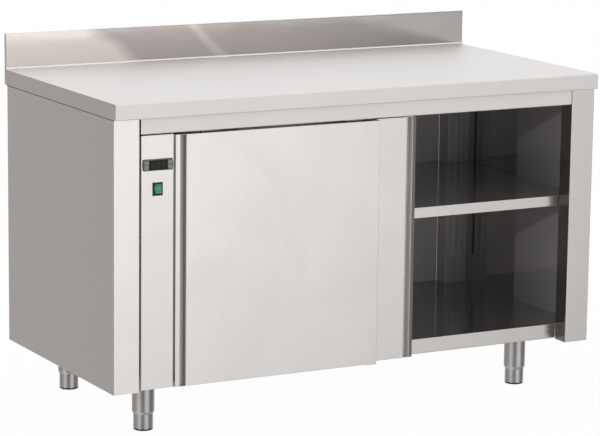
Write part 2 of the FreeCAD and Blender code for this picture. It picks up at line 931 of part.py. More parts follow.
def rack_point(frame):
    """Turns a place on a rack (across it, away from its carrier) into plan."""
    (x, y), (dx, dy) = frame
    return lambda across, out: (x + dx * out - dy * across, y + dy * out + dx * across)


def block_on_rack(frame, across0, across1, out0, out1, z0, z1):
    place = rack_point(frame)
    points = [place(across0, out0), place(across1, out0), place(across1, out1), place(across0, out1)]
    return prism("plan", points, z0, z1)


def rack(frame):
    z0, z1, levels = rack_slots()
    place = rack_point(frame)
    half = rack_width / 2
    path = [place(-half, 0), place(-half, rack_depth), place(half, rack_depth), place(half, 0)]
    shape = folded("plan", path, 1, z0, z1, sheet)
    w = rack_slot_width / 2
    h = rack_slot_height / 2
    back, front = rack_depth - 2 * sheet, rack_depth + cut_over
    return shape.cut([block_on_rack(frame, -w, w, back, front, z - h, z + h) for z in levels])


def clip_level():
    """The highest rack slot that lies below the shelf's hem."""
    wanted = shelf_bottom - fit_gap - clip_thickness
    return max(z for z in rack_slots()[2] if z <= wanted)


def shelf_clip(frame):
    top = shelf_bottom - fit_gap
    half = clip_width / 2
    reach = rack_depth + clip_length
    tongue = block_on_rack(frame, -half, half, rack_depth, reach, top - clip_thickness, top)
    level = clip_level()
    h = hook_height / 2
    hook = block_on_rack(
        frame, -hook_width / 2, hook_width / 2, rack_depth - hook_depth, rack_depth + clip_thickness,
        level - h, level + h)
    low = min(level - h, top - clip_thickness)
    back = block_on_rack(frame, -half, half, rack_depth, rack_depth + sheet, low, top)
    return fuse([tongue, back, hook])


def shelf_outline(inset):
    x0 = partition_face + rack_depth + shelf_rack_gap + inset
    x1 = post_inner - shelf_side_gap - inset
    x2 = side_inner - shelf_side_gap - inset
    y0 = posts_front + shelf_front_gap + inset
    y1 = posts_front + rack_depth + shelf_rack_gap + inset
    y2 = posts_back - rack_depth - shelf_rack_gap - inset
    y3 = back_inner - shelf_back_gap - inset
    return [(x0, y0), (x1, y0), (x1, y1), (x2, y1), (x2, y2), (x1, y2), (x1, y3), (x0, y3)]


def shelf():
    outer = prism("plan", shelf_outline(0), shelf_bottom, shelf_level)
    front = posts_front + shelf_front_gap
    front_edge = lambda b: near(b.YMin, front) and near(b.YMax, front) and near(b.ZLength, 0)
    outer = fillet_where(outer, shelf_edge_radius, front_edge)
    hollow = prism("plan", shelf_outline(sheet), shelf_bottom + sheet, shelf_level - sheet)
    mouth = prism("plan", shelf_outline(shelf_hem), shelf_bottom - cut_over, shelf_bottom + 2 * sheet)
    return outer.cut([hollow, mouth])


# Controller and switch

def bowed_block(y0, y1):
    """The controller's bezel, whose two short ends bulge outwards by the bow."""
    x, z, bow = panel_middle, controller_level, controller_bow
    w = controller_width / 2
    h = controller_height / 2
    to_space = in_plane("front", y0)
    a, b = (x - w + bow, z + h), (x + w - bow, z + h)
    c, d = (x + w - bow, z - h), (x - w + bow, z - h)
    edges = [
        Part.LineSegment(to_space(*a), to_space(*b)).toShape(),
        Part.Arc(to_space(*b), to_space(x + w, z), to_space(*c)).toShape(),
        Part.LineSegment(to_space(*c), to_space(*d)).toShape(),
        Part.Arc(to_space(*d), to_space(x - w, z), to_space(*a)).toShape(),
    ]
    return Part.Face(Part.Wire(edges)).extrude(along("front", y1 - y0))


button_names = {
    "button_up": (-1, 1), "button_down": (-1, -1), "button_set": (1, 1), "button_power": (1, -1),
}


def button_middle(name):
    sx, sz = button_names[name]
    return panel_middle + sx * button_spread_x / 2, controller_level + sz * button_spread_z / 2


def button_block(name, grow, y0, y1):
    x, z = button_middle(name)
    return box_about(x, (y0 + y1) / 2, z, button_width + 2 * grow, y1 - y0, button_height + 2 * grow)


def controller_housing():
    front = body_front - bezel_depth
    bezel = bowed_block(front, body_front)
    bezel = fillet_where(bezel, bezel_radius, lambda b: near(b.YMin, front) and near(b.YMax, front))
    body = box_about(
        panel_middle, body_front + controller_body_depth / 2, controller_level,
        controller_body_width, controller_body_depth, controller_body_height)
    pocket = box_about(
        panel_middle, front + display_depth / 2 - display_proud - cut_over / 2, controller_level,
        display_width, display_depth + cut_over, display_height)
    cuts = [button_block(name, button_gap, front - cut_over, front + button_pocket) for name in button_names]
    return fuse([bezel, body]).cut([pocket] + cuts)


def display_window():
    front = body_front - bezel_depth - display_proud
    window = box_about(
        panel_middle, front + display_depth / 2, controller_level,
        display_width, display_depth, display_height)
    return fillet_where(window, display_proud / 2, lambda b: near(b.YMin, front) and near(b.YMax, front))


def button(name):
    front = body_front - bezel_depth - button_proud
    block = button_block(name, 0, front, front + button_depth)
    return fillet_where(block, button_radius, lambda b: near(b.YMin, front) and near(b.YMax, front))


def rocker_pivot():
    return Vector(panel_middle, body_front + rocker_pivot_depth, switch_level)


def switch_frame():
    front = body_front - switch_frame_depth
    frame = box_about(
        panel_middle, body_front - switch_frame_depth / 2, switch_level,
        switch_frame_width, switch_frame_depth, switch_frame_height)
    frame = fillet_where(frame, switch_frame_radius, lambda b: near(b.YMin, front) and near(b.YMax, front))
    body = box_about(
        panel_middle, body_front + switch_body_depth / 2, switch_level,
        switch_body_width, switch_body_depth, switch_body_height)
    tabs = [
        box_about(
            panel_middle, body_front + switch_body_depth + tab_depth / 2, switch_level + i * tab_pitch,
            tab_width, tab_depth, tab_height)
        for i in (-1, 0, 1)
    ]
    pivot = rocker_pivot()
    sweep = cylinder(
        rocker_sweep_radius, switch_window_width, pivot - TO_RIGHT * switch_window_width / 2, TO_RIGHT)
    window = box_about(
        panel_middle, front, switch_level,
        switch_window_width, 2 * rocker_sweep_radius / 3, 2 * rocker_sweep_radius)
    pin_half = rocker_width / 2 + rocker_pin_length + rocker_pin_clearance
    pins = cylinder(
        rocker_pin_radius + rocker_pin_clearance, 2 * pin_half, pivot - TO_RIGHT * pin_half, TO_RIGHT)
    return fuse([frame, body] + tabs).cut([sweep, window, pins])


def rocker():
    """A rocker with a dished face and round ends, turned so that its upper half is pressed in."""
    pivot = rocker_pivot()
    r = rocker_radius
    tip = math.sqrt(r * r - rocker_tip_reach * rocker_tip_reach)
    heel = math.sqrt(r * r - rocker_back_reach * rocker_back_reach)
    y, z = pivot.y, pivot.z
    to_space = in_plane("side", pivot.x - rocker_width / 2)
    top, low = (y - rocker_tip_reach, z + tip), (y - rocker_tip_reach, z - tip)
    back_top, back_low = (y + rocker_back_reach, z + heel), (y + rocker_back_reach, z - heel)
    edges = [
        Part.Arc(to_space(*top), to_space(y - rocker_waist_reach, z), to_space(*low)).toShape(),
        Part.Arc(to_space(*low), to_space(y, z - r), to_space(*back_low)).toShape(),
        Part.LineSegment(to_space(*back_low), to_space(*back_top)).toShape(),
        Part.Arc(to_space(*back_top), to_space(y, z + r), to_space(*top)).toShape(),
    ]
    body = Part.Face(Part.Wire(edges)).extrude(along("side", rocker_width))
    half = rocker_width / 2 + rocker_pin_length
    pins = cylinder(rocker_pin_radius, 2 * half, pivot - TO_RIGHT * half, TO_RIGHT)
    shape = fuse([body, pins])
    shape.rotate(pivot, TO_RIGHT, -rocker_tilt)
    return shape


# Fan, heater and terminal block

def fan_start():
    """The middle of the fan's outer face, on the technical side of the partition."""
    return Vector(partition_face - sheet - fan_depth, 0, fan_level)


def fan_housing():
    start = fan_start()
    frame = box_about(start.x + fan_depth / 2, 0, fan_level, fan_depth, fan_size, fan_size)
    frame = fillet_where(frame, fan_corner_radius, lambda b: near(b.YLength, 0) and near(b.ZLength, 0))
    bore_start = start - TO_RIGHT * cut_over
    frame = frame.cut(cylinder(fan_bore_radius, fan_depth + 2 * cut_over, bore_start, TO_RIGHT))
    motor = cylinder(motor_radius, motor_depth, start, TO_RIGHT)
    shaft = cylinder(shaft_radius, motor_depth + rotor_gap + rotor_depth, start, TO_RIGHT)
    reach = (fan_bore_radius + fan_size / 2) / 2
    struts = []
    for turn in (45, 135):
        strut = box_about(start.x + strut_depth / 2, 0, fan_level, strut_depth, 2 * reach, strut_width)
        strut.rotate(start, TO_RIGHT, turn)
        struts.append(strut)
    return fuse([frame, motor, shaft] + struts)


def fan_rotor():
    start = fan_start() + TO_RIGHT * (motor_depth + rotor_gap)
    hub = cylinder(rotor_hub_radius, rotor_depth, start, TO_RIGHT)
    blades = []
    root = rotor_hub_radius - blade_thickness
    for i in range(rotor_blades):
        middle = start + TO_RIGHT * rotor_depth / 2
        length = rotor_radius - root
        blade = box_about(
            middle.x, middle.y, middle.z + root + length / 2,
            blade_thickness, rotor_depth * blade_chord_share, length)
        blade.rotate(middle, UP, blade_pitch)
        blade.rotate(middle, TO_RIGHT, i * 360 / rotor_blades)
        blades.append(blade)
    reach = cylinder(rotor_radius, rotor_depth, start, TO_RIGHT)
    bore = cylinder(
        shaft_radius + shaft_clearance, rotor_depth + 2 * cut_over, start - TO_RIGHT * cut_over, TO_RIGHT)
    return fuse([hub] + blades).common(reach).cut(bore)


blade_chord_share = 1.5


def air_grilles():
    panels = []
    for level in (fan_level, outlet_level):
        x0, x1 = partition_face, partition_face + grille_depth
        panel = box_about((x0 + x1) / 2, 0, level, grille_depth, grille_width, grille_height)
        panel = fillet_where(panel, grille_radius, lambda b: near(b.XMin, x1) and near(b.XMax, x1))
        usable = grille_height - 2 * grille_margin
        count = int(usable / grille_slot_pitch)
        first = level - (count - 1) * grille_slot_pitch / 2
        cuts = [
            box_about(
                (x0 + x1) / 2, 0, first + i * grille_slot_pitch, grille_depth + 2 * cut_over,
                grille_width - 2 * grille_margin, grille_slot_height)
            for i in range(count)
        ]
        panels.append(panel.cut(cuts))
    return panels


def heater_element():
    """A tube that runs to and fro behind the upper outlet, held by two brackets on the partition."""
    x = partition_face - sheet - heater_standoff
    to_space = in_plane("side", x)
    half = heater_run / 2
    first = outlet_level - (heater_runs - 1) * heater_bend_radius
    edges = []
    for i in range(heater_runs):
        z = first + 2 * i * heater_bend_radius
        side = 1 if i % 2 == 0 else -1
        edges.append(Part.LineSegment(to_space(-side * half, z), to_space(side * half, z)).toShape())
        if i < heater_runs - 1:
            bulge = to_space(side * (half + heater_bend_radius), z + heater_bend_radius)
            end = to_space(side * half, z + 2 * heater_bend_radius)
            edges.append(Part.Arc(to_space(side * half, z), bulge, end).toShape())
    path = Part.Wire(edges)
    ring = Part.Wire(Part.makeCircle(heater_tube_radius, to_space(-half, first), TO_BACK))
    tube = path.makePipeShell([ring], True, False)
    height = 2 * (heater_runs - 1) * heater_bend_radius + 4 * heater_tube_radius
    reach = heater_standoff + heater_tube_radius
    brackets = []
    for sign in (-1, 1):
        y = sign * half * bracket_share
        brackets.append(box_about(
            partition_face - sheet - reach / 2, y, outlet_level, reach, heater_bracket, height))
        foot_z = outlet_level - height / 2
        brackets.append(box(
            partition_face - sheet - heater_bracket, partition_face - sheet, y - heater_bracket_width / 2,
            y + heater_bracket_width / 2, foot_z - heater_bracket_width * 2, foot_z + heater_bracket_width))
    return fuse([tube] + brackets)


bracket_share = 0.8


def terminal_block():
    x = -side_inner + terminal_side_gap + terminal_length / 2
    y = posts_back - terminal_back_gap - terminal_width / 2
    z = floor_top + terminal_height / 2
    block = box_about(x, y, z, terminal_length, terminal_width, terminal_height)
    pitch = terminal_length / terminal_poles
    top = floor_top + terminal_height
    cuts = []
    for i in range(terminal_poles):
        place_x = x + (i - (terminal_poles - 1) / 2) * pitch
        for sign in (-1, 1):
            place_y = y + sign * terminal_width / 2
            cuts.append(box_about(
                place_x, place_y, top, terminal_slot, terminal_slot_depth, terminal_height))
    return block.cut(cuts)


# Cable gland

def hexagon(radius, y0, y1):
    x, z = panel_middle, gland_level
    points = [
        (x + radius * math.cos(math.radians(60 * i)), z + radius * math.sin(math.radians(60 * i)))
        for i in range(6)
    ]
    return prism("front", points, y0, y1)


def gland_round(radius, y0, y1):
    return cylinder(radius, y1 - y0, Vector(panel_middle, y0, gland_level), TO_BACK)


def cable_gland():
    outside = body_back + sheet
    dome_start = outside + gland_hex_depth
    top = dome_start + gland_dome_depth
    stem_start = outside - gland_stem_depth
    collar = hexagon(gland_hex_radius, outside, dome_start)
    nut = hexagon(gland_hex_radius, body_back - gland_nut_depth, body_back)
    dome = gland_round(gland_dome_radius, dome_start, top)
    dome = fillet_where(dome, gland_dome_fillet, lambda b: near(b.YMin, top) and near(b.YMax, top))
    stem = gland_round(gland_stem_radius, stem_start, outside)
    bore = gland_round(gland_bore_radius, stem_start - cut_over, top + cut_over)
    return fuse([collar, dome, stem, nut]).cut(bore)


# Legs and feet

def leg_sleeve(x, y):
    taper_top = sleeve_bottom + sleeve_taper
    cone = Part.makeCone(sleeve_mouth_radius, sleeve_radius, sleeve_taper, Vector(x, y, sleeve_bottom))
    tube = cylinder(sleeve_radius, sleeve_top - taper_top, Vector(x, y, taper_top), UP)
    plate = box_about(x, y, sleeve_top + socket_plate / 2, socket_size, base_rail_width, socket_plate)
    bore = cylinder(sleeve_bore_radius, sleeve_length + cut_over, Vector(x, y, sleeve_bottom - cut_over), UP)
    shape = fuse([cone, tube, plate]).cut(bore)
    holes = [
        screw_hole(p, UP, screw_length) for p in leg_screw_places()
        if abs(p.x - x) < socket_size and abs(p.y - y) < socket_size
    ]
    return shape.cut(holes)


def foot(x, y):
    outer = cylinder(foot_radius, foot_top - pad_height, Vector(x, y, pad_height), UP)
    outer = fillet_where(outer, foot_wall, lambda b: near(b.ZMin, foot_top) and near(b.ZMax, foot_top))
    hollow_height = foot_top - foot_cap - pad_height + cut_over
    hollow = cylinder(foot_radius - foot_wall, hollow_height, Vector(x, y, pad_height - cut_over), UP)
    return outer.cut(hollow)


def foot_pad(x, y):
    disc = cylinder(foot_radius - pad_inset, pad_height, Vector(x, y, 0), UP)
    disc = fillet_where(disc, pad_edge, lambda b: near(b.ZMin, 0) and near(b.ZMax, 0))
    plug = cylinder(foot_radius - foot_wall - pad_plug_gap, pad_plug_height, Vector(x, y, pad_height), UP)
    return fuse([disc, plug])


# Screws

def cabinet_screws():
    screws = [screw(place, UP, screw_length) for place in leg_screw_places()]
    screws += [screw(place, UP, guide_plate + 2 * sheet) for place in guide_screw_places()]
    screws += [screw(place, UP, track_sheet + sheet) for place in track_screw_places()]
    screws += [screw(place, TO_FRONT, screw_length) for place in cover_screw_places()]
    return screws


# All pieces by name

def door_pieces(name, left, right, grip_on_left, face, hangers, step):
    span = (left, right, grip_on_left, face)
    return {
        name + "_skin": [door_skin(*span)],
        name + "_liner": [door_liner(*span)],
        name + "_core": [door_core(*span)],
        name + "_grip": [door_grip(*span)],
        name + "_hangers": [hanger(x, step) for x in hangers],
        name + "_wheel_left": [wheel(hangers[0], step)],
        name + "_wheel_right": [wheel(hangers[1], step)],
    }


def all_pieces():
    pieces = {
        "worktop": [worktop()],
        "worktop_stiffeners": worktop_stiffeners(),
        "side_panel_left": [side_panel(-1)],
        "side_panel_right": [side_panel(1)],
        "post_front_left": [post(-1, -1)],
        "post_front_right": [post(1, -1)],
        "post_rear_left": [post(-1, 1)],
        "post_rear_right": [post(1, 1)],
        "back_panel": [back_panel()],
        "service_cover": [service_cover()],
        "partition_panel": [partition_panel()],
        "top_fascia": [top_fascia()],
        "ceiling_panel": [ceiling_panel()],
        "floor_panel": [floor_panel()],
        "base_rails": base_rails(),
        "control_panel": [control_panel()],
        "controller_housing": [controller_housing()],
        "display_window": [display_window()],
        "switch_frame": [switch_frame()],
        "rocker": [rocker()],
        "door_track": [door_track()],
        "track_stops": track_stops(),
        "bottom_guide": [bottom_guide()],
        "shelf": [shelf()],
        "shelf_racks": [rack(frame) for frame in rack_frames()],
        "shelf_clips": [shelf_clip(frame) for frame in rack_frames()],
        "fan_housing": [fan_housing()],
        "fan_rotor": [fan_rotor()],
        "air_grilles": air_grilles(),
        "heater_element": [heater_element()],
        "terminal_block": [terminal_block()],
        "cable_gland": [cable_gland()],
        "leg_sleeves": [leg_sleeve(x, y) for x, y in leg_places.values()],
        "cabinet_screws": cabinet_screws(),
    }
    for name in button_names:
        pieces[name] = [button(name)]
    for name, (x, y) in leg_places.items():
        pieces["foot_" + name] = [foot(x, y)]
        pieces["foot_pad_" + name] = [foot_pad(x, y)]
    pieces.update(door_pieces(
        "front_door", front_door_left, front_door_right, True, front_door_face, front_hangers, 0))
    pieces.update(door_pieces(
        "rear_door", rear_door_left, rear_door_right, False, rear_door_face, rear_hangers, door_pitch))
    return pieces


def main():
    os.makedirs("parts", exist_ok=True)
    pieces = all_pieces()
    for name, solids in pieces.items():
        shape = solids[0] if len(solids) == 1 else Part.makeCompound(solids)
        shape.exportStep(os.path.join("parts", name + ".step"))
        print(name, "solids", len(shape.Solids), "valid", shape.isValid())
    print("nodes", len(pieces))


if __name__ == "__main__":
    main()
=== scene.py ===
"""Finishes, small parts and studio for the plate warmer cabinet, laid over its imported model."""

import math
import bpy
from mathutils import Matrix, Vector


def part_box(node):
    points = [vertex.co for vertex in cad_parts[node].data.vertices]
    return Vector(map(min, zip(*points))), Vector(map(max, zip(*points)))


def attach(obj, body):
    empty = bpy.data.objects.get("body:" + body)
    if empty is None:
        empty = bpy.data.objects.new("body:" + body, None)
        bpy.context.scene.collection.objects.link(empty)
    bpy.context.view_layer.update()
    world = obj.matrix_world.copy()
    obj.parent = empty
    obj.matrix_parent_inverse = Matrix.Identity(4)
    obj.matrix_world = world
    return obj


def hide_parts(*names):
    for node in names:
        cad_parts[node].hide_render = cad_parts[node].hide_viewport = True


bl_info = {
    "name": "Plate Warmer Cabinet",
    "version": (1, 0, 0),
    "blender": (4, 5, 0),
    "location": "3D View > Sidebar > Cabinet",
    "description": "Gives the plate warmer cabinet its sheet steel, controls, screws and studio",
    "category": "Object",
}

import bmesh
import bpy
from bpy.props import FloatProperty, FloatVectorProperty, IntProperty, PointerProperty
from mathutils import Matrix, Vector

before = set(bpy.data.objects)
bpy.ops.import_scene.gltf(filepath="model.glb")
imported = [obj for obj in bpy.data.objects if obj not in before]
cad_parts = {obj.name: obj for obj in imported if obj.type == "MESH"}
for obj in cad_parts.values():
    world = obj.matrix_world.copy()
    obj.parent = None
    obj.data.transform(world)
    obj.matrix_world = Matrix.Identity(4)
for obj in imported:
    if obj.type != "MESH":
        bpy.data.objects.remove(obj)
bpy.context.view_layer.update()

X, Y, Z = 0, 1, 2


# Sizes and colours that a user would change

def colour_setting(name, description, default):
    return FloatVectorProperty(
        name=name, description=description, default=default, size=3, min=0.0, max=1.0, subtype="COLOR")


def share_setting(name, description, default):
    return FloatProperty(
        name=name, description=description, default=default, min=0.0, max=1.0, subtype="FACTOR")


def length_setting(name, description, default):
    return FloatProperty(
        name=name, description=description, default=default, min=0.0, precision=5, unit="LENGTH")


def angle_setting(name, description, degrees):
    return FloatProperty(
        name=name, description=description, default=math.radians(degrees), subtype="ANGLE", unit="ROTATION")


class CabinetSteel(bpy.types.PropertyGroup):
    outer_colour: colour_setting("Outer steel", "Colour of the satin sheet outside", (0.76, 0.732, 0.712))
    outer_roughness: share_setting("Outer roughness", "Roughness of the satin sheet outside", 0.27)
    # The inner steel is made much darker than the outer steel as painted shade for the closed chamber
    inner_shaded_colour: colour_setting(
        "Inner steel", "Colour of the glossy sheet in the chamber", (0.45, 0.445, 0.45))
    inner_roughness: share_setting("Inner roughness", "Roughness of the glossy sheet in the chamber", 0.12)
    leg_colour: colour_setting("Leg steel", "Colour of the leg tubes", (0.60, 0.585, 0.57))
    leg_roughness: share_setting("Leg roughness", "Roughness of the leg tubes", 0.4)
    grain_length: length_setting("Grain length", "Length of the satin lines", 0.22)
    grain_width: length_setting("Grain width", "Width of the satin lines", 0.0007)
    grain_depth: length_setting("Grain depth", "Depth of the satin lines", 0.0000038)
    wave_size: length_setting("Wave size", "Width of the slow waves in a large sheet", 0.45)
    wave_depth: length_setting("Wave depth", "Depth of the slow waves in a large sheet", 0.0009)


class CabinetControls(bpy.types.PropertyGroup):
    bezel_colour: colour_setting("Bezel", "Colour of the controller's bezel", (0.11, 0.107, 0.094))
    button_colour: colour_setting("Buttons", "Colour of the controller's buttons", (0.27, 0.27, 0.235))
    glass_colour: colour_setting("Display", "Colour of the dark display window", (0.010, 0.010, 0.012))
    segment_colour: colour_setting("Segments", "Colour of the unlit figures", (0.045, 0.042, 0.042))
    digit_count: IntProperty(name="Digits", description="Number of figures in the display", default=3, min=1)
    digit_height: length_setting("Digit height", "Height of one figure", 0.0135)
    switch_colour: colour_setting("Switch", "Colour of the switch frame", (0.012, 0.012, 0.013))
    lens_colour: colour_setting("Rocker", "Colour of the rocker's lens", (0.035, 0.27, 0.17))
    mark_size: length_setting("Mark size", "Height of the marks on the buttons", 0.0032)


class CabinetFittings(bpy.types.PropertyGroup):
    socket_width: length_setting("Socket", "Width over the flats of a screw's hexagon socket", 0.003)
    socket_depth: length_setting("Socket depth", "Depth of a screw's hexagon socket", 0.0014)
    # One dark colour serves the real rubber stops and the strips of painted shade under the worktop's sides
    rubber_and_gap_shadow_colour: colour_setting("Rubber", "Colour of the stops and beads", (0.018, 0.018, 0.018))
    groove_depth: length_setting(
        "Groove depth", "Depth from which a grip's faces belong to its groove", 0.006)
    # Sizes of the dark strips of painted shade under the worktop's sides
    gap_shadow_height: length_setting("Bead height", "Height of the bead under the worktop's sides", 0.0019)
    gap_shadow_depth: length_setting("Bead depth", "How far the bead stands out of the side panel", 0.0007)
    foot_colour: colour_setting("Foot pad", "Colour of the feet's plastic pads", (0.014, 0.014, 0.014))
    wheel_colour: colour_setting("Wheels", "Colour of the door wheels", (0.78, 0.77, 0.72))


class CabinetStudio(bpy.types.PropertyGroup):
    azimuth: angle_setting("Azimuth", "Camera's direction round the cabinet, from straight ahead", -28.43)
    elevation: angle_setting("Elevation", "Camera's height angle", 10.74)
    roll: angle_setting("Roll", "Camera's turn about its own axis", -0.70)
    distance: length_setting("Distance", "Distance of the camera from its target", 7.3615)
    target: FloatVectorProperty(
        name="Target", description="Point that the camera looks at", size=3,
        default=(-0.00217, 0.0, 0.4572), subtype="TRANSLATION", unit="LENGTH")
    lens: FloatProperty(
        name="Lens", description="Focal length on a 36 mm sensor", default=165.97, unit="CAMERA")
    floor_colour: colour_setting("Floor", "Colour of the studio floor", (0.97, 0.97, 0.97))
    floor_size: length_setting("Floor size", "Side of the studio floor", 90.0)
    floor_white: share_setting(
        "Floor white", "Share of plain white in the floor, as the camera sees it", 0.975)
    overhead: FloatProperty(
        name="Overhead light", description="Strength of the light from above", default=0.95, min=0.0,
        unit="NONE")


# Shader nodes

# Sockets A and B and the result of a Mix node, by the kind of value that it blends
MIX_SOCKETS = {"FLOAT": (2, 3, 0), "VECTOR": (4, 5, 1), "RGBA": (6, 7, 2)}
# Spans that hold nearly all values of a noise
NOISE_SPAN = (0.3, 0.7)
WIDE_NOISE_SPAN = (0.25, 0.75)
# A face looks along an axis when its normal has more than this share of it
FACING = 0.7


class Shading:
    """Adds nodes to one node tree and joins them."""

    def __init__(self, tree):
        self.tree = tree

    def add(self, kind, settings=None, **inputs):
        """A new node with its settings and the values or links of its named inputs."""
        node = self.tree.nodes.new(kind)
        for name, value in (settings or {}).items():
            setattr(node, name, value)
        for name, value in inputs.items():
            self.put(node.inputs[name.replace("_", " ")], value)
        return node

    def put(self, socket, value):
        """Links the socket to another one, or sets its value."""
        if isinstance(value, bpy.types.NodeSocket):
            self.tree.links.new(value, socket)
        else:
            socket.default_value = value

    def place(self):
        """The place on the object, in its own coordinates."""
        return self.add("ShaderNodeTexCoord").outputs["Object"]

    def parts(self, vector):
        """The three sockets with a vector's X, Y and Z."""
        return self.add("ShaderNodeSeparateXYZ", None, Vector=vector).outputs

    def scaled(self, vector, scale):
        """The vector with a scale of its own for X, Y and Z."""
        return self.add("ShaderNodeMapping", None, Vector=vector, Scale=scale).outputs[0]

    def math(self, operation, first, second=0.0):
        """The result of one operation on one or two numbers."""
        node = self.add("ShaderNodeMath", {"operation": operation})
        self.put(node.inputs[0], first)
        self.put(node.inputs[1], second)
        return node.outputs[0]

    def spread(self, value, low, high, start=0.0, end=1.0):
        """value, taken from the span low to high onto the span start to end."""
        node = self.add("ShaderNodeMapRange", None, Value=value)
        for name, number in (("From Min", low), ("From Max", high), ("To Min", start), ("To Max", end)):
            node.inputs[name].default_value = number
        return node.outputs["Result"]

    def noise(self, vector, scale, detail=2.0, roughness=0.5, distortion=0.0):
        """A smooth random value that differs from place to place."""
        node = self.add("ShaderNodeTexNoise", None, Vector=vector, Scale=scale, Detail=detail,
                        Roughness=roughness, Distortion=distortion)
        return node.outputs[0]

    def blend(self, share, first, second, kind="RGBA"):
        """The first value, which gives way to the second by the share."""
        node = self.add("ShaderNodeMix", {"data_type": kind})
        low, high, result = MIX_SOCKETS[kind]
        self.put(node.inputs[0], share)
        self.put(node.inputs[low], first)
        self.put(node.inputs[high], second)
        return node.outputs[result]

    def bump(self, height, distance, strength=1.0, normal=None):
        """The normal of a surface raised by height times distance, over another normal if given."""
        node = self.add("ShaderNodeBump", None, Height=height, Distance=distance, Strength=strength)
        if normal is not None:
            self.put(node.inputs["Normal"], normal)
        return node.outputs["Normal"]

    def tinted(self, noise, colour, tints):
        """The colour, which a noise takes from one tint of it to the other."""
        return self.blend(self.spread(noise, *NOISE_SPAN), tint(colour, tints[0]), tint(colour, tints[1]))

    def varied(self, noise, value, shares, span=NOISE_SPAN):
        """The value, which a noise takes from one share of it to the other."""
        return self.spread(noise, *span, value * shares[0], value * shares[1])


def tint(colour, share):
    """The colour made lighter or darker by a share, as the four numbers of a socket."""
    return tuple(min(1.0, c * share) for c in colour) + (1.0,)


def toned(colour, tones):
    """The colour with a share of its own for each of red, green and blue."""
    return tuple(part * tone for part, tone in zip(colour, tones))


def start_material(name, colour, roughness, **constants):
    """A new material; constants are sockets that stay the same all over the surface."""
    material = bpy.data.materials.new(name)
    material.use_nodes = True
    shader = material.node_tree.nodes["Principled BSDF"]
    shader.inputs["Base Color"].default_value = tint(colour, 1.0)
    shader.inputs["Roughness"].default_value = roughness
    for key, value in constants.items():
        shader.inputs[key.replace("_", " ")].default_value = value
    return material, shader, Shading(material.node_tree)


# Sheet steel

ACROSS = {X: Z, Y: X, Z: Y}              # the way that lines take on the ends of a sheet, by their usual way
SHEET_TINTS = (0.985, 1.012)
LINE_SHARE = 0.7                         # of the lines in the shade, and the smears have the rest
LINE_ROUGHNESS_SHARES = (0.93, 1.05)
SMEAR_ROUGHNESS = (-0.022, 0.03)         # added to the roughness
LINE_STRENGTH = 0.9

# The upstand is polished more than the worktop; its colour is painted reflection: paler at its left end, with
# one slanted streak, and darker towards its right
UPSTAND_ROUGHNESS_SHARE = 0.31
UPSTAND_TONES = (1.04, 1.004, 0.993)
UPSTAND_SLANT = 1.2                      # how far the patches move along X for each metre of height
UPSTAND_CLOUD_SCALE = (4.0, 1.0, 9.0)
UPSTAND_DRIFT = (-0.03, 0.03)            # how far the clouds push the edges of the patches
CLOUD_SPAN = (0.2, 0.8)
PALE_REFLECTION_EDGE = (-0.31, -0.37)               # X where the pale end starts and where it is full
PALE_REFLECTION_SHARE = 0.97
REFLECTED_STREAK_X = -0.062
REFLECTED_STREAK_REACH = (0.032, 0.006)            # distance from its middle where it starts and where it is full
REFLECTED_STREAK_SHARE = 0.45
DARK_REFLECTION_SHARES = (0.59, 0.49)               # at the left and the right end of the dark part
DARK_REFLECTION_SPAN = (0.1, 0.5)
UPSTAND_FOLD_DEPTH = 0.0012

# The front part of the chamber's right wall is a little matt and carries a painted pool of light under a
# slanted painted shadow edge in each tier; above that edge and at the rear the wall gets painted shade
MATT_AND_LIGHT_EDGE_Y = 0.03
MATT_AND_SHADOW_LINE_SLOPE = 0.464                  # how much the line drops for each metre of depth
MATT_AND_SHADOW_LINES = (0.3655, 0.639)             # height of the line at the middle of the depth, lower and upper tier
MATT_AND_SHADOW_SOFTNESS = 0.006
MATT_METALLIC, REAR_METALLIC = 0.62, 0.93
# Painted shade above the line and painted light under it
PAINTED_LIGHT_SHARES = (0.7, 0.93)                # brightness above and under the line
REAR_PAINTED_SHADE_SHARE = 0.58


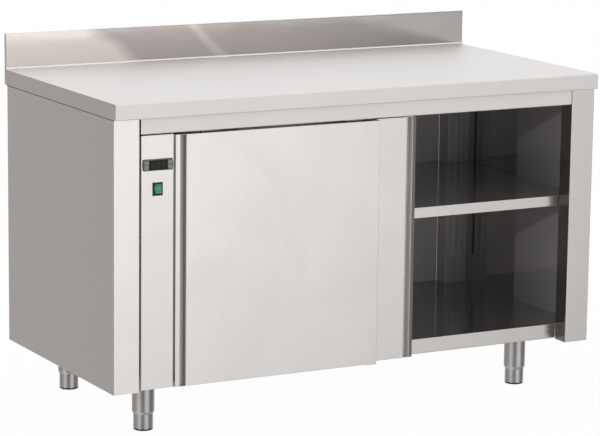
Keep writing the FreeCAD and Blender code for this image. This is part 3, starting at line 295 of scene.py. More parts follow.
def sheet_steel(name, along, share=1.0, tones=(1.0, 1.0, 1.0), rough_share=1.0, roughness=None, inner=False,
                lines=1.0, waves=1.0, metallic=1.0, upstand=None):
    """Satin sheet steel whose fine lines run along one axis, with slow waves and faint smears.

    share and tones change the steel's colour. rough_share changes its roughness, unless roughness gives it.
    lines and waves are shares of the usual depths. Above the height upstand, the sheet looks as the upstand
    does, with its painted reflections.
    """
    steel = bpy.context.scene.cabinet_steel
    colour = toned(tint(steel.inner_shaded_colour if inner else steel.outer_colour, share), tones)
    if roughness is None:
        roughness = (steel.inner_roughness if inner else steel.outer_roughness) * rough_share
    material, shader, nodes = start_material(name, colour, roughness, Metallic=metallic)
    place = nodes.place()

    def stretched(axis):
        scale = [1.0 / steel.grain_width] * 3
        scale[axis] = 1.0 / steel.grain_length
        return nodes.scaled(place, scale)

    facing = nodes.parts(nodes.add("ShaderNodeNewGeometry").outputs["Normal"])
    folded = nodes.math("GREATER_THAN", nodes.math("ABSOLUTE", facing[along]), FACING)
    lines_place = nodes.blend(folded, stretched(along), stretched(ACROSS[along]), "VECTOR")
    line = nodes.noise(lines_place, scale=1.0, detail=3.0, roughness=0.62)
    smears = nodes.noise(place, scale=4.5, detail=4.0, roughness=0.55, distortion=0.6)
    slow = nodes.noise(place, scale=1.0 / steel.wave_size, detail=1.0, roughness=0.4)
    shade = nodes.math("ADD", nodes.math("MULTIPLY", line, LINE_SHARE),
                      nodes.math("MULTIPLY", smears, 1.0 - LINE_SHARE))
    surface = nodes.tinted(shade, colour, SHEET_TINTS)
    rough = nodes.math("ADD", nodes.varied(line, roughness, LINE_ROUGHNESS_SHARES, WIDE_NOISE_SPAN),
                      nodes.spread(smears, *NOISE_SPAN, *SMEAR_ROUGHNESS))
    normal = nodes.bump(slow, steel.wave_depth * waves)
    if upstand is not None:
        surface, rough, normal = upstand_with_painted_reflections(nodes, place, upstand, surface, rough, normal)
    nodes.put(shader.inputs["Base Color"], surface)
    nodes.put(shader.inputs["Roughness"], rough)
    nodes.put(shader.inputs["Normal"], nodes.bump(line, steel.grain_depth * lines, LINE_STRENGTH, normal))
    return material


def upstand_with_painted_reflections(nodes, place, foot, surface, rough, normal):
    """A sheet's colour, roughness and normal, changed above the height foot to the upstand's, whose colour is
    painted reflection.
    """
    across, _, height = nodes.parts(place)
    raised = nodes.math("GREATER_THAN", height, foot)
    rough = nodes.math("MULTIPLY", rough, nodes.blend(raised, 1.0, UPSTAND_ROUGHNESS_SHARE, "FLOAT"))
    cloud = nodes.noise(nodes.scaled(place, UPSTAND_CLOUD_SCALE), scale=1.0)
    lean = nodes.math("MULTIPLY", nodes.math("SUBTRACT", height, foot), UPSTAND_SLANT)
    slanted = nodes.math("ADD", across, lean)
    slanted = nodes.math("ADD", slanted, nodes.spread(cloud, *CLOUD_SPAN, *UPSTAND_DRIFT))
    # Painted reflections: a pale left end and one pale slanted streak
    pale = nodes.spread(slanted, *PALE_REFLECTION_EDGE)
    streak = nodes.spread(nodes.math("ABSOLUTE", nodes.math("SUBTRACT", slanted, REFLECTED_STREAK_X)), *REFLECTED_STREAK_REACH)
    light = nodes.math("MAXIMUM", pale, nodes.math("MULTIPLY", streak, REFLECTED_STREAK_SHARE))
    steel = toned(bpy.context.scene.cabinet_steel.outer_colour, UPSTAND_TONES)
    # Painted reflection: the rest of the upstand dark, darker towards its right end
    dark = nodes.blend(nodes.spread(across, *DARK_REFLECTION_SPAN), *(tint(steel, share) for share in DARK_REFLECTION_SHARES))
    surface = nodes.blend(raised, surface, nodes.blend(light, dark, tint(steel, PALE_REFLECTION_SHARE)))
    normal = nodes.bump(nodes.math("MULTIPLY", raised, cloud), UPSTAND_FOLD_DEPTH, 1.0, normal)
    return surface, rough, normal


def matt_front_with_painted_light(material):
    """Makes the front part of the chamber's right wall a little matt, paints a pool of light on it under a
    slanted line in each tier, and paints shade above that line and on the wall's rear part.
    """
    nodes = Shading(material.node_tree)
    _, depth, height = nodes.parts(nodes.place())
    low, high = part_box("shelf")
    upper = nodes.math("GREATER_THAN", height, (low.z + high.z) / 2)
    line = nodes.blend(upper, *MATT_AND_SHADOW_LINES, "FLOAT")
    drop = nodes.math("MULTIPLY", depth, MATT_AND_SHADOW_LINE_SLOPE)
    rise = nodes.math("SUBTRACT", nodes.math("ADD", height, drop), line)
    under = nodes.spread(rise, MATT_AND_SHADOW_SOFTNESS, -MATT_AND_SHADOW_SOFTNESS)
    ahead = nodes.spread(depth, MATT_AND_LIGHT_EDGE_Y + MATT_AND_SHADOW_SOFTNESS, MATT_AND_LIGHT_EDGE_Y - MATT_AND_SHADOW_SOFTNESS)
    near = nodes.blend(under, (MATT_METALLIC + REAR_METALLIC) / 2, MATT_METALLIC, "FLOAT")
    shader = material.node_tree.nodes["Principled BSDF"]
    nodes.put(shader.inputs["Metallic"], nodes.blend(ahead, REAR_METALLIC, near, "FLOAT"))
    sheet = shader.inputs["Base Color"].links[0].from_socket
    # Painted light and shade: darkest at the rear, lighter in front above the line, lightest under it
    share = nodes.blend(ahead, REAR_PAINTED_SHADE_SHARE, nodes.blend(under, *PAINTED_LIGHT_SHARES, "FLOAT"), "FLOAT")
    shaded = nodes.add("ShaderNodeHueSaturation", None, Color=sheet, Value=share)
    nodes.put(shader.inputs["Base Color"], shaded.outputs[0])


# Other materials

PLASTIC_TINTS = (0.88, 1.12)
PLASTIC_ROUGHNESS_SHARES = (0.88, 1.14)
LENS_TINTS = (0.9, 1.12)
LENS_ROUGHNESS_SHARES = (0.85, 1.2)
LENS_EDGE_SHARES = (0.14, 0.26)          # of the lens's width, where its dark left edge fades
LENS_EDGE_TINT = 0.22
LENS_COAT = 0.3
LENS_DEPTH = 0.000004
TURNED_TINTS = (0.93, 1.04)
TURNED_ROUGHNESS_SHARES = (0.8, 1.2)
TURNED_SCALE = 6.0                       # of the rings along their own way
RING_DEPTH = 0.000008
WOOL_TINTS = (0.7, 1.1)
WOOL_ROUGHNESS = 0.95
TUFT_DEPTH = 0.0008


def moulded_plastic(name, colour, roughness, grain=1400.0, depth=0.000012, **constants):
    """Moulded plastic or rubber with a fine, even skin and a little handling wear."""
    material, shader, nodes = start_material(name, colour, roughness, **constants)
    place = nodes.place()
    skin = nodes.noise(place, scale=grain, detail=2.0, roughness=0.6)
    wear = nodes.noise(place, scale=60.0, detail=3.0, roughness=0.55)
    nodes.put(shader.inputs["Base Color"], nodes.tinted(wear, colour, PLASTIC_TINTS))
    nodes.put(shader.inputs["Roughness"], nodes.varied(wear, roughness, PLASTIC_ROUGHNESS_SHARES))
    nodes.put(shader.inputs["Normal"], nodes.bump(skin, depth))
    return material


def tinted_lens(name, colour, roughness, low, high):
    """Clear coloured plastic seen between low and high along X, darker towards its left edge."""
    material, shader, nodes = start_material(name, colour, roughness, Coat_Weight=LENS_COAT)
    place = nodes.place()
    clear = nodes.spread(nodes.parts(place)[X], *(low + (high - low) * share for share in LENS_EDGE_SHARES))
    cloud = nodes.noise(place, scale=260.0, detail=2.0, roughness=0.5)
    skin = nodes.noise(place, scale=900.0, detail=2.0)
    nodes.put(shader.inputs["Base Color"], nodes.blend(
        clear, tint(colour, LENS_EDGE_TINT), nodes.tinted(cloud, colour, LENS_TINTS)))
    nodes.put(shader.inputs["Roughness"], nodes.varied(cloud, roughness, LENS_ROUGHNESS_SHARES))
    nodes.put(shader.inputs["Normal"], nodes.bump(skin, LENS_DEPTH))
    return material


def turned_metal(name, colour, roughness, along=Z, pitch=0.0006):
    """Turned or ground metal with fine rings round one axis."""
    material, shader, nodes = start_material(name, colour, roughness, Metallic=1.0)
    place = nodes.place()
    scale = [TURNED_SCALE] * 3
    scale[along] = 1.0 / pitch
    rings = nodes.noise(nodes.scaled(place, scale), scale=1.0, detail=3.0, roughness=0.6)
    smears = nodes.noise(place, scale=35.0, detail=3.0, roughness=0.5)
    nodes.put(shader.inputs["Base Color"], nodes.tinted(smears, colour, TURNED_TINTS))
    nodes.put(shader.inputs["Roughness"], nodes.varied(
        rings, roughness, TURNED_ROUGHNESS_SHARES, WIDE_NOISE_SPAN))
    nodes.put(shader.inputs["Normal"], nodes.bump(rings, RING_DEPTH))
    return material


def pressed_wool(name, colour):
    """Pressed insulating wool."""
    material, shader, nodes = start_material(name, colour, WOOL_ROUGHNESS)
    tufts = nodes.noise(nodes.place(), scale=90.0, detail=5.0, roughness=0.65, distortion=1.2)
    nodes.put(shader.inputs["Base Color"], nodes.tinted(tufts, colour, WOOL_TINTS))
    nodes.put(shader.inputs["Normal"], nodes.bump(tufts, TUFT_DEPTH))
    return material


def finish(material, *nodes):
    """Puts one material on all the slots of the named CAD nodes."""
    for name in nodes:
        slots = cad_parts[name].data.materials
        for i in range(len(slots)):
            slots[i] = material
        if not slots:
            slots.append(material)


def finish_facing(material, name, way, sunk=0.0):
    """Puts a material on the faces of a CAD node that look one way and lie at least sunk behind its front."""
    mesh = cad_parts[name].data
    mesh.materials.append(material)
    front = max(v.co.dot(way) for v in mesh.vertices)
    for face in mesh.polygons:
        if face.normal.dot(way) > FACING and face.center.dot(way) <= front - sunk:
            face.material_index = len(mesh.materials) - 1


# Meshes

WELD = 0.000001                          # points closer than this are one point
WIDE_SHARE, SHANK_SHARE = 0.85, 0.7      # of a screw's head radius: a point is on the head, or on the shank
PLAIN_SHANK_SHARE = 0.55                 # of the head's radius, for a screw without points on its shank


def piece_from(bm, name, material, body, replaced=()):
    """Makes an object of a finished bmesh, gives it its finish and lets it ride on a body."""
    bmesh.ops.recalc_face_normals(bm, faces=bm.faces)
    mesh = bpy.data.meshes.new(name)
    bm.to_mesh(mesh)
    bm.free()
    mesh.materials.append(material)
    obj = bpy.data.objects.new(name, mesh)
    bpy.context.scene.collection.objects.link(obj)
    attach(obj, body)
    if replaced:
        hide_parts(*replaced)
    return obj


def ring(bm, place, radii, height):
    """One ring of points; radii gives a radius for each of them."""
    count = len(radii)
    return [
        bm.verts.new(place @ Vector((
            r * math.cos(2 * math.pi * i / count), r * math.sin(2 * math.pi * i / count), height)))
        for i, r in enumerate(radii)
    ]


def join_rings(bm, first, second):
    """Smooth faces between two rings with as many points."""
    count = len(first)
    for i in range(count):
        j = (i + 1) % count
        face = bm.faces.new((first[i], first[j], second[j], second[i]))
        face.smooth = True


def hexagon(width, count):
    """Radii of a hexagon, width over its flats, at count even angles."""
    return [
        width / 2 / math.cos((2 * math.pi * i / count) % (math.pi / 3) - math.pi / 6) for i in range(count)
    ]


def slab(bm, place, points, height, edge):
    """A flat plate with the outline points and a small chamfer round its upper face."""
    middle = Vector((sum(p[0] for p in points) / len(points), sum(p[1] for p in points) / len(points)))
    rings = []
    for level, inset in ((0.0, 0.0), (height - edge, 0.0), (height, edge)):
        row = []
        for p in points:
            away = Vector(p) - middle
            flat = middle + away * (1.0 - inset / away.length)
            row.append(bm.verts.new(place @ Vector((flat.x, flat.y, level))))
        rings.append(row)
    for first, second in zip(rings, rings[1:]):
        join_rings(bm, first, second)
    bm.faces.new(rings[-1])
    bm.faces.new(list(reversed(rings[0])))


def islands(obj):
    """The separate solids of a mesh in the order of their points, each as a list of its points."""
    mesh = obj.data
    bm = bmesh.new()
    bm.from_mesh(mesh)
    bmesh.ops.remove_doubles(bm, verts=bm.verts, dist=WELD)
    left = set(bm.verts)
    found = []
    for start in bm.verts:
        if start not in left:
            continue
        left.discard(start)
        stack = [start]
        group = []
        while stack:
            v = stack.pop()
            group.append(v.co.copy())
            for e in v.link_edges:
                w = e.other_vert(v)
                if w in left:
                    left.discard(w)
                    stack.append(w)
        found.append(group)
    bm.free()
    return found


def screw_place(points):
    """Where a screw stands: the point under its head, its outward direction, the head's radius and height,
    and the shank's radius and length."""
    low = Vector([min(p[k] for p in points) for k in range(3)])
    high = Vector([max(p[k] for p in points) for k in range(3)])
    middle, span = (low + high) / 2, high - low
    axis = min(range(3), key=lambda k: abs(span[(k + 1) % 3] - span[(k + 2) % 3]))
    radius = span[(axis + 1) % 3] / 2

    def reach(p):
        off = p - middle
        return math.hypot(off[(axis + 1) % 3], off[(axis + 2) % 3])

    wide = [p[axis] for p in points if reach(p) > WIDE_SHARE * radius]
    ends = (low[axis], high[axis])
    shank = max((reach(p) for p in points if p[axis] in ends and reach(p) < SHANK_SHARE * radius),
                default=radius * PLAIN_SHANK_SHARE)
    outward = Vector((0.0, 0.0, 0.0))
    head_low, head_high = min(wide), max(wide)
    sign = 1.0 if (head_low + head_high) / 2 > middle[axis] else -1.0
    outward[axis] = sign
    seat = middle.copy()
    seat[axis] = head_low if sign > 0 else head_high
    height = (high[axis] - head_low) if sign > 0 else (head_high - low[axis])
    length = (head_low - low[axis]) if sign > 0 else (high[axis] - head_high)
    return seat, outward, radius, height, shank, length


# Operators, one for each group of pieces

FORWARD, LEFT, UP = Vector((0, -1, 0)), Vector((-1, 0, 0)), Vector((0, 0, 1))
UPSTAND_HEIGHT = 0.095
# How far above the worktop's surface its upright and its level faces belong to the upstand
UPRIGHT_CLEARANCE, LEVEL_CLEARANCE = 0.006, 0.0002


class CabinetStep(bpy.types.Operator):
    """One step of dressing the cabinet"""
    bl_options = {"REGISTER", "UNDO"}


class CABINET_OT_worktop(CabinetStep):
    """Give the worktop and its stiffeners their satin sheet"""
    bl_idname = "cabinet.worktop"
    bl_label = "Worktop"

    def execute(self, context):
        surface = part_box("worktop")[1].z - UPSTAND_HEIGHT
        # Painted light and shade: the worktop's faces take copies of one steel at different brightness, much
        # lighter on the front apron, the top a little lighter and bluer, the left side a little darker
        finish(sheet_steel("worktop_sheet", X, share=1.245, rough_share=1.9,
                           upstand=surface + UPRIGHT_CLEARANCE), "worktop")
        finish_facing(sheet_steel("worktop_top", X, share=1.03, tones=(1.0, 1.008, 1.02), rough_share=1.9,
                                  metallic=0.5, upstand=surface + LEVEL_CLEARANCE), "worktop", UP)
        finish_facing(sheet_steel("worktop_side", Y, share=0.98, rough_share=1.4), "worktop", LEFT)
        finish(sheet_steel("stiffener_sheet", X, roughness=0.4, waves=0.0), "worktop_stiffeners")
        return {"FINISHED"}


class CABINET_OT_casing(CabinetStep):
    """Give the side panels, posts, back, fascia and base their satin sheet"""
    bl_idname = "cabinet.casing"
    bl_label = "Casing"

    def execute(self, context):
        finish(sheet_steel("upright_sheet", Z), "side_panel_left", "side_panel_right", "post_front_left",
               "post_front_right", "service_cover")
        # Painted shade: the control panel a little darker than the other uprights
        finish(sheet_steel("panel_sheet", Z, share=0.95), "control_panel")
        finish(sheet_steel("level_sheet", X), "base_rails", "back_panel")
        # Painted light: the fascia much lighter than the other sheets
        finish(sheet_steel("fascia_sheet", X, share=1.3, rough_share=2.1), "top_fascia")
        finish_facing(sheet_steel("chamber_back", Z, roughness=0.1, lines=0.1, waves=0.5, metallic=0.2),
                      "back_panel", FORWARD)
        side = sheet_steel("chamber_side", Z, roughness=0.08, lines=0.1, waves=0.5)
        matt_front_with_painted_light(side)
        finish_facing(side, "side_panel_right", LEFT)
        # Painted shade: the right post's faces into the opening take its steel at under half the brightness
        finish_facing(sheet_steel("jamb_sheet", Z, share=0.45, roughness=0.2, metallic=0.95),
                      "post_front_right", LEFT)
        self.gap_shadow_strips(context.scene.cabinet_fittings)
        return {"FINISHED"}

    def gap_shadow_strips(self, fittings):
        """Thin dark strips that stand in for the shadowed gap where the side panels meet the worktop: painted
        shade.
        """
        bm = bmesh.new()
        for side, way in (("side_panel_left", -1), ("side_panel_right", 1)):
            low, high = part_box(side)
            outside = low.x if way < 0 else high.x
            size = Vector((fittings.gap_shadow_depth, high.y - low.y, fittings.gap_shadow_height))
            middle = Vector((outside + way * size.x / 2, (low.y + high.y) / 2, high.z - size.z / 2))
            place = Matrix.Translation(middle) @ Matrix.Diagonal(size.to_4d())
            bmesh.ops.create_cube(bm, size=1.0, matrix=place)
        gap_shadow = moulded_plastic("painted_gap_shadow", fittings.rubber_and_gap_shadow_colour, roughness=0.6, grain=700.0)
        piece_from(bm, "worktop_gap_shadows", gap_shadow, "cabinet")


class CABINET_OT_chamber(CabinetStep):
    """Give the heated chamber, its shelf and its racks their glossy sheet"""
    bl_idname = "cabinet.chamber"
    bl_label = "Heated chamber"

    def execute(self, context):
        finish(sheet_steel("chamber_wall", Z, inner=True, lines=0.25, metallic=0.85), "partition_panel")
        finish(sheet_steel("chamber_floor", X, inner=True, lines=0.25, metallic=0.8),
               "ceiling_panel", "shelf", "air_grilles")
        # Painted shade: the floor panel a shade darker than the ceiling and shelf
        finish(sheet_steel("chamber_base", X, inner=True, share=0.82, lines=0.25, metallic=0.88),
               "floor_panel")
        finish(sheet_steel("chamber_post", Z, roughness=0.1, lines=0.25, metallic=0.4),
               "post_rear_left", "post_rear_right")
        finish(sheet_steel("rack_strip", Z, roughness=0.2, lines=0.5, waves=0.0, metallic=0.25),
               "shelf_racks", "shelf_clips")
        # The front faces of the shelf and floor take the outer steel, without the inner steel's painted shade
        edge = sheet_steel("chamber_edge", X, share=0.95)
        for name in ("shelf", "floor_panel"):
            finish_facing(edge, name, FORWARD)
        return {"FINISHED"}


class CABINET_OT_doors(CabinetStep):
    """Give both sliding doors their skins, liners, wool and grips"""
    bl_idname = "cabinet.doors"
    bl_label = "Doors"

    def execute(self, context):
        groove_depth = context.scene.cabinet_fittings.groove_depth
        skin = sheet_steel("door_skin", Z)
        grip = sheet_steel("door_grip", Z, rough_share=0.9, waves=0.0)
        liner = sheet_steel("door_liner", Z, roughness=0.45, lines=0.5, metallic=0.1)
        wool = pressed_wool("door_wool", (0.52, 0.47, 0.30))
        groove = sheet_steel("groove_sheet", Z, waves=0.0, metallic=0.35)
        for door in ("front_door", "rear_door"):
            finish(skin, door + "_skin")
            finish(grip, door + "_grip")
            finish_facing(groove, door + "_grip", FORWARD, groove_depth)
            finish(liner, door + "_liner")
            finish(wool, door + "_core")
        # Painted shade: the side walls of the front door's groove at about half the steel's brightness
        finish_facing(sheet_steel("groove_side", Z, share=0.55, waves=0.0),
                      "front_door_grip", LEFT, groove_depth)
        return {"FINISHED"}


class CABINET_OT_running_gear(CabinetStep):
    """Give the track, hangers, wheels, stops and guide their finishes"""
    bl_idname = "cabinet.running_gear"
    bl_label = "Running gear"

    def execute(self, context):
        fittings = context.scene.cabinet_fittings
        # Painted shade: the track and hangers get a dark grey for the shade in the gap above the doors
        finish(turned_metal("track_metal", (0.34, 0.34, 0.345), roughness=0.42, along=Y, pitch=0.0008),
               "door_track")
        finish(turned_metal("hanger_metal", (0.30, 0.295, 0.285), roughness=0.42, along=X, pitch=0.0008),
               "front_door_hangers", "rear_door_hangers")
        nylon = moulded_plastic("wheel_nylon", fittings.wheel_colour, roughness=0.42, grain=900.0)
        finish(nylon, "bottom_guide",
               *(f"{door}_door_wheel_{side}" for door in ("front", "rear") for side in ("left", "right")))
        finish(moulded_plastic("stop_rubber", fittings.rubber_and_gap_shadow_colour, roughness=0.72, grain=700.0,
                               depth=0.00003), "track_stops")
        return {"FINISHED"}


# Shape of one figure of the display, in shares of its height, and of the raised marks on the buttons
DIGIT_WIDTH_SHARE = 0.52
BAR_SHARE = 0.10
BAR_END_SHARE = 0.6                      # of the bar's width, kept free at each end of a bar
DIGIT_LEAN_SHARE = 0.08
DIGIT_PITCH_SHARE = 0.29                 # of the window's width
POINT_SHARE = 0.86                       # of the figure's width, from its middle to its decimal point
POINT_RADIUS, POINT_SIDES = 0.0006, 10
FIGURE_HEIGHT, FIGURE_EDGE = 0.00005, 0.00001
# The seven bars: middle across and up, and whether the bar lies across
BARS = ((0, 0, True), (0, 0.5, True), (0, -0.5, True), (-0.5, 0.25, False), (0.5, 0.25, False),
        (-0.5, -0.25, False), (0.5, -0.25, False))
MARK_HEIGHT, MARK_EDGE, BAR_EDGE = 0.0001, 0.00003, 0.00002
MARK_TINT = 0.35                         # of the buttons' colour
ARROW_SHARES = ((-0.55, -0.35), (0.55, -0.35), (0.0, 0.5))
POWER_BAR_SHARES = ((-0.07, 0.05), (0.07, 0.05), (0.07, 0.6), (-0.07, 0.6))
POWER_GAP = math.radians(50)
RING_RADIUS_SHARE, RING_WIDTH_SHARE, RING_SIDES = 0.42, 0.13, 24
RING_WELD = 0.0000001


def front_of(name):
    """A place in the middle of a node's front, whose Z looks forward."""
    low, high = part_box(name)
    middle = (low + high) / 2
    return Matrix.Translation((middle.x, low.y, middle.z)) @ Matrix.Rotation(math.radians(90), 4, "X")


class CABINET_OT_controller(CabinetStep):
    """Give the controller its bezel, dark window, unlit figures and marked buttons"""
    bl_idname = "cabinet.controller"
    bl_label = "Controller"

    def execute(self, context):
        sizes = context.scene.cabinet_controls
        finish(moulded_plastic("bezel_plastic", sizes.bezel_colour, roughness=0.5), "controller_housing")
        finish(moulded_plastic("window_glass", sizes.glass_colour, roughness=0.22, grain=200.0,
                               depth=0.0000005, Specular_IOR_Level=0.12), "display_window")
        finish(moulded_plastic("button_plastic", sizes.button_colour, roughness=0.55),
               "button_up", "button_down", "button_set", "button_power")
        self.figures(sizes)
        self.marks(sizes)
        return {"FINISHED"}

    def figures(self, sizes):
        """Thin unlit segments on the face of the display window."""
        face = front_of("display_window")
        low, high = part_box("display_window")
        pitch = (high.x - low.x) * DIGIT_PITCH_SHARE
        height = sizes.digit_height
        width, bar = height * DIGIT_WIDTH_SHARE, height * BAR_SHARE
        bm = bmesh.new()
        for k in range(sizes.digit_count):
            at = (k - (sizes.digit_count - 1) / 2) * pitch
            for x, y, across in BARS:
                long = (width if across else height / 2) / 2 - bar * BAR_END_SHARE
                thin = bar / 2
                outline = [(-long, 0), (-long + thin, -thin), (long - thin, -thin), (long, 0),
                           (long - thin, thin), (-long + thin, thin)]
                if not across:
                    outline = [(-b, a) for a, b in outline]
                cx, cy = at + x * width, y * height
                slab(bm, face, [(cx + a + cy * DIGIT_LEAN_SHARE, cy + b) for a, b in outline],
                     FIGURE_HEIGHT, FIGURE_EDGE)
            turns = (2 * math.pi * i / POINT_SIDES for i in range(POINT_SIDES))
            slab(bm, face, [(at + width * POINT_SHARE + POINT_RADIUS * math.cos(t),
                             -height / 2 + POINT_RADIUS * math.sin(t)) for t in turns],
                 FIGURE_HEIGHT, FIGURE_EDGE)
        unlit = moulded_plastic("unlit_segment", sizes.segment_colour, roughness=0.2)
        piece_from(bm, "unlit_figures", unlit, "cabinet")

    def marks(self, sizes):
        """Plain raised marks: arrows on two buttons, a ring and a power sign on the others."""
        ink = moulded_plastic("button_mark", tint(sizes.button_colour, MARK_TINT)[:3], roughness=0.5)
        size = sizes.mark_size
        for name in ("button_up", "button_down", "button_set", "button_power"):
            face = front_of(name)
            bm = bmesh.new()
            arrow = [(a * size, b * size) for a, b in ARROW_SHARES]
            if name == "button_up":
                slab(bm, face, arrow, MARK_HEIGHT, MARK_EDGE)
            elif name == "button_down":
                slab(bm, face, [(a, -b) for a, b in reversed(arrow)], MARK_HEIGHT, MARK_EDGE)
            elif name == "button_set":
                self.open_ring(bm, face, size, 0.0)
            else:
                self.open_ring(bm, face, size, POWER_GAP)
                slab(bm, face, [(a * size, b * size) for a, b in POWER_BAR_SHARES], MARK_HEIGHT, BAR_EDGE)
            piece_from(bm, name + "_mark", ink, name)

    def open_ring(self, bm, face, size, gap):
        """A raised ring, open at the top by the angle gap."""
        radius, half = size * RING_RADIUS_SHARE, size * RING_WIDTH_SHARE / 2
        outer, inner = [], []
        for i in range(RING_SIDES + 1):
            t = math.pi / 2 + gap / 2 + (2 * math.pi - gap) * i / RING_SIDES
            for row, r in ((outer, radius + half), (inner, radius - half)):
                row.append([bm.verts.new(face @ Vector((r * math.cos(t), r * math.sin(t), z)))
                            for z in (0.0, MARK_HEIGHT)])
        for i in range(RING_SIDES):
            for a, b in ((outer[i], outer[i + 1]), (inner[i + 1], inner[i])):
                bm.faces.new((a[0], b[0], b[1], a[1]))
            for z in (0, 1):
                bm.faces.new((outer[i][z], outer[i + 1][z], inner[i + 1][z], inner[i][z]))
        if gap:
            for i in (0, RING_SIDES):
                bm.faces.new((outer[i][0], outer[i][1], inner[i][1], inner[i][0]))
        else:
            bmesh.ops.remove_doubles(bm, verts=bm.verts, dist=RING_WELD)


class CABINET_OT_switch(CabinetStep):
    """Give the rocker switch its black frame and green lens"""
    bl_idname = "cabinet.switch"
    bl_label = "Rocker switch"

    def execute(self, context):
        sizes = context.scene.cabinet_controls
        finish(moulded_plastic("switch_plastic", sizes.switch_colour, roughness=0.38), "switch_frame")
        low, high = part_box("rocker")
        finish(tinted_lens("rocker_lens", sizes.lens_colour, 0.22, low.x, high.x), "rocker")
        return {"FINISHED"}


class CABINET_OT_heating(CabinetStep):
    """Give the fan, heater, terminals and cable gland their finishes"""
    bl_idname = "cabinet.heating"
    bl_label = "Heating"

    def execute(self, context):
        finish(moulded_plastic("fan_plastic", (0.02, 0.02, 0.021), roughness=0.45, grain=800.0),
               "fan_housing", "fan_rotor")
        finish(turned_metal("heater_steel", (0.33, 0.30, 0.27), roughness=0.42, along=X, pitch=0.002),
               "heater_element")
        finish(moulded_plastic("terminal_cream", (0.72, 0.68, 0.55), roughness=0.5), "terminal_block")
        finish(moulded_plastic("gland_nylon", (0.022, 0.022, 0.023), roughness=0.48, grain=900.0),
               "cable_gland")
        return {"FINISHED"}


class CABINET_OT_legs(CabinetStep):
    """Give the legs their ground tubes and the feet their black pads"""
    bl_idname = "cabinet.legs"
    bl_label = "Legs"

    def execute(self, context):
        steel, pads = context.scene.cabinet_steel, context.scene.cabinet_fittings
        corners = [f"{y}_{x}" for y in ("front", "rear") for x in ("left", "right")]
        finish(turned_metal("leg_tube", steel.leg_colour, steel.leg_roughness), "leg_sleeves")
        finish(turned_metal("foot_tube", steel.leg_colour, steel.leg_roughness, pitch=0.0004),
               *("foot_" + corner for corner in corners))
        finish(moulded_plastic("foot_plastic", pads.foot_colour, roughness=0.5, grain=700.0),
               *("foot_pad_" + corner for corner in corners))
        return {"FINISHED"}


# Shape of a screw, in shares of its head's height or radius, or of its shank's radius or length
SCREW_SIDES = 24
RIM_SHARE = 0.34
RIM_LIP_SHARE = 0.2                      # of the rim, where the head reaches its full radius
SEAT_SHARE = 0.985                       # of the head's radius, at its seat
POINT_RADIUS_SHARE, POINT_PLACE_SHARE = 0.72, 0.94
DOME_STEPS = 7
SOCKET_RIM_SHARE = 1.08                  # of the socket's width, at the chamfer of its mouth
SOCKET_CORNER_SHARE = 0.72               # of the socket's width, out to where the dome starts
SOCKET_CHAMFER = 0.0001


class CABINET_OT_screws(CabinetStep):
    """Replace the plain screws by pan heads with hexagon sockets"""
    bl_idname = "cabinet.screws"
    bl_label = "Screws"

    def execute(self, context):
        fittings = context.scene.cabinet_fittings
        socket = hexagon(fittings.socket_width, SCREW_SIDES)
        mouth = fittings.socket_width * SOCKET_CORNER_SHARE
        bm = bmesh.new()
        for points in islands(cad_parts["cabinet_screws"]):
            seat, outward, radius, height, shank, length = screw_place(points)
            place = Matrix.Translation(seat) @ outward.to_track_quat("Z", "Y").to_matrix().to_4x4()
            rim = height * RIM_SHARE
            profile = [(shank * POINT_RADIUS_SHARE, -length), (shank, -length * POINT_PLACE_SHARE),
                       (shank, 0.0), (radius * SEAT_SHARE, 0.0), (radius, rim * RIM_LIP_SHARE), (radius, rim)]
            for i in range(1, DOME_STEPS):
                t = math.radians(90 * i / DOME_STEPS)
                profile.append((mouth + (radius - mouth) * math.cos(t), rim + (height - rim) * math.sin(t)))
            rows = [ring(bm, place, [r] * SCREW_SIDES, h) for r, h in profile]
            rows.append(ring(bm, place, [r * SOCKET_RIM_SHARE for r in socket], height))
            rows.append(ring(bm, place, socket, height - SOCKET_CHAMFER))
            rows.append(ring(bm, place, socket, height - fittings.socket_depth))
            for first, second in zip(rows, rows[1:]):
                join_rings(bm, first, second)
            bm.faces.new(list(reversed(rows[0])))
            bm.faces.new(rows[-1])
        steel = turned_metal("screw_steel", (0.66, 0.65, 0.63), roughness=0.24, pitch=0.0003)
        piece_from(bm, "pan_head_screws", steel, "cabinet", ("cabinet_screws",))
        return {"FINISHED"}


# Studio

# Each stop of a ring of light has degrees from straight ahead towards the right, a strength up to RING_TOP,
# and how warm it is
RING_TOP = 2.0
WARM_TONES = (0.0, 0.033, 0.05)          # what one step of warmth takes from red, green and blue
LEFT_STOPS = ((-90, 0.5, 1), (-74, 1.1, 0.5), (-60, 0.9, 0), (-46, 0.5, 0), (-33, 0.06, 0), (-22, 0.05, 0),
              (-14, 0.15, 0), (-5, 1.3, 0))
LOW_STOPS = LEFT_STOPS + (
    (10, 1.5, 0), (22, 1.66, 0), (29, 1.4, 0), (36, 0.52, 0), (48, 0.15, 0), (75, 0.12, 0), (100, 0.4, 0),
    (125, 0.95, 0), (152, 1.1, -0.5), (175, 0.85, 0), (195, 0.46, 1), (208, 0.38, 1), (240, 0.36, 1))
HIGH_STOPS = LEFT_STOPS + (
    (8, 1.9, 0), (19, 2.0, 0), (26, 0.6, 0), (33, 0.25, 0), (60, 0.4, 0), (90, 0.5, 0), (125, 0.85, 0),
    (142, 1.0, -0.4), (153, 1.25, -0.6), (165, 1.2, -0.3), (195, 0.55, 1), (208, 0.42, 1), (240, 0.4, 1))
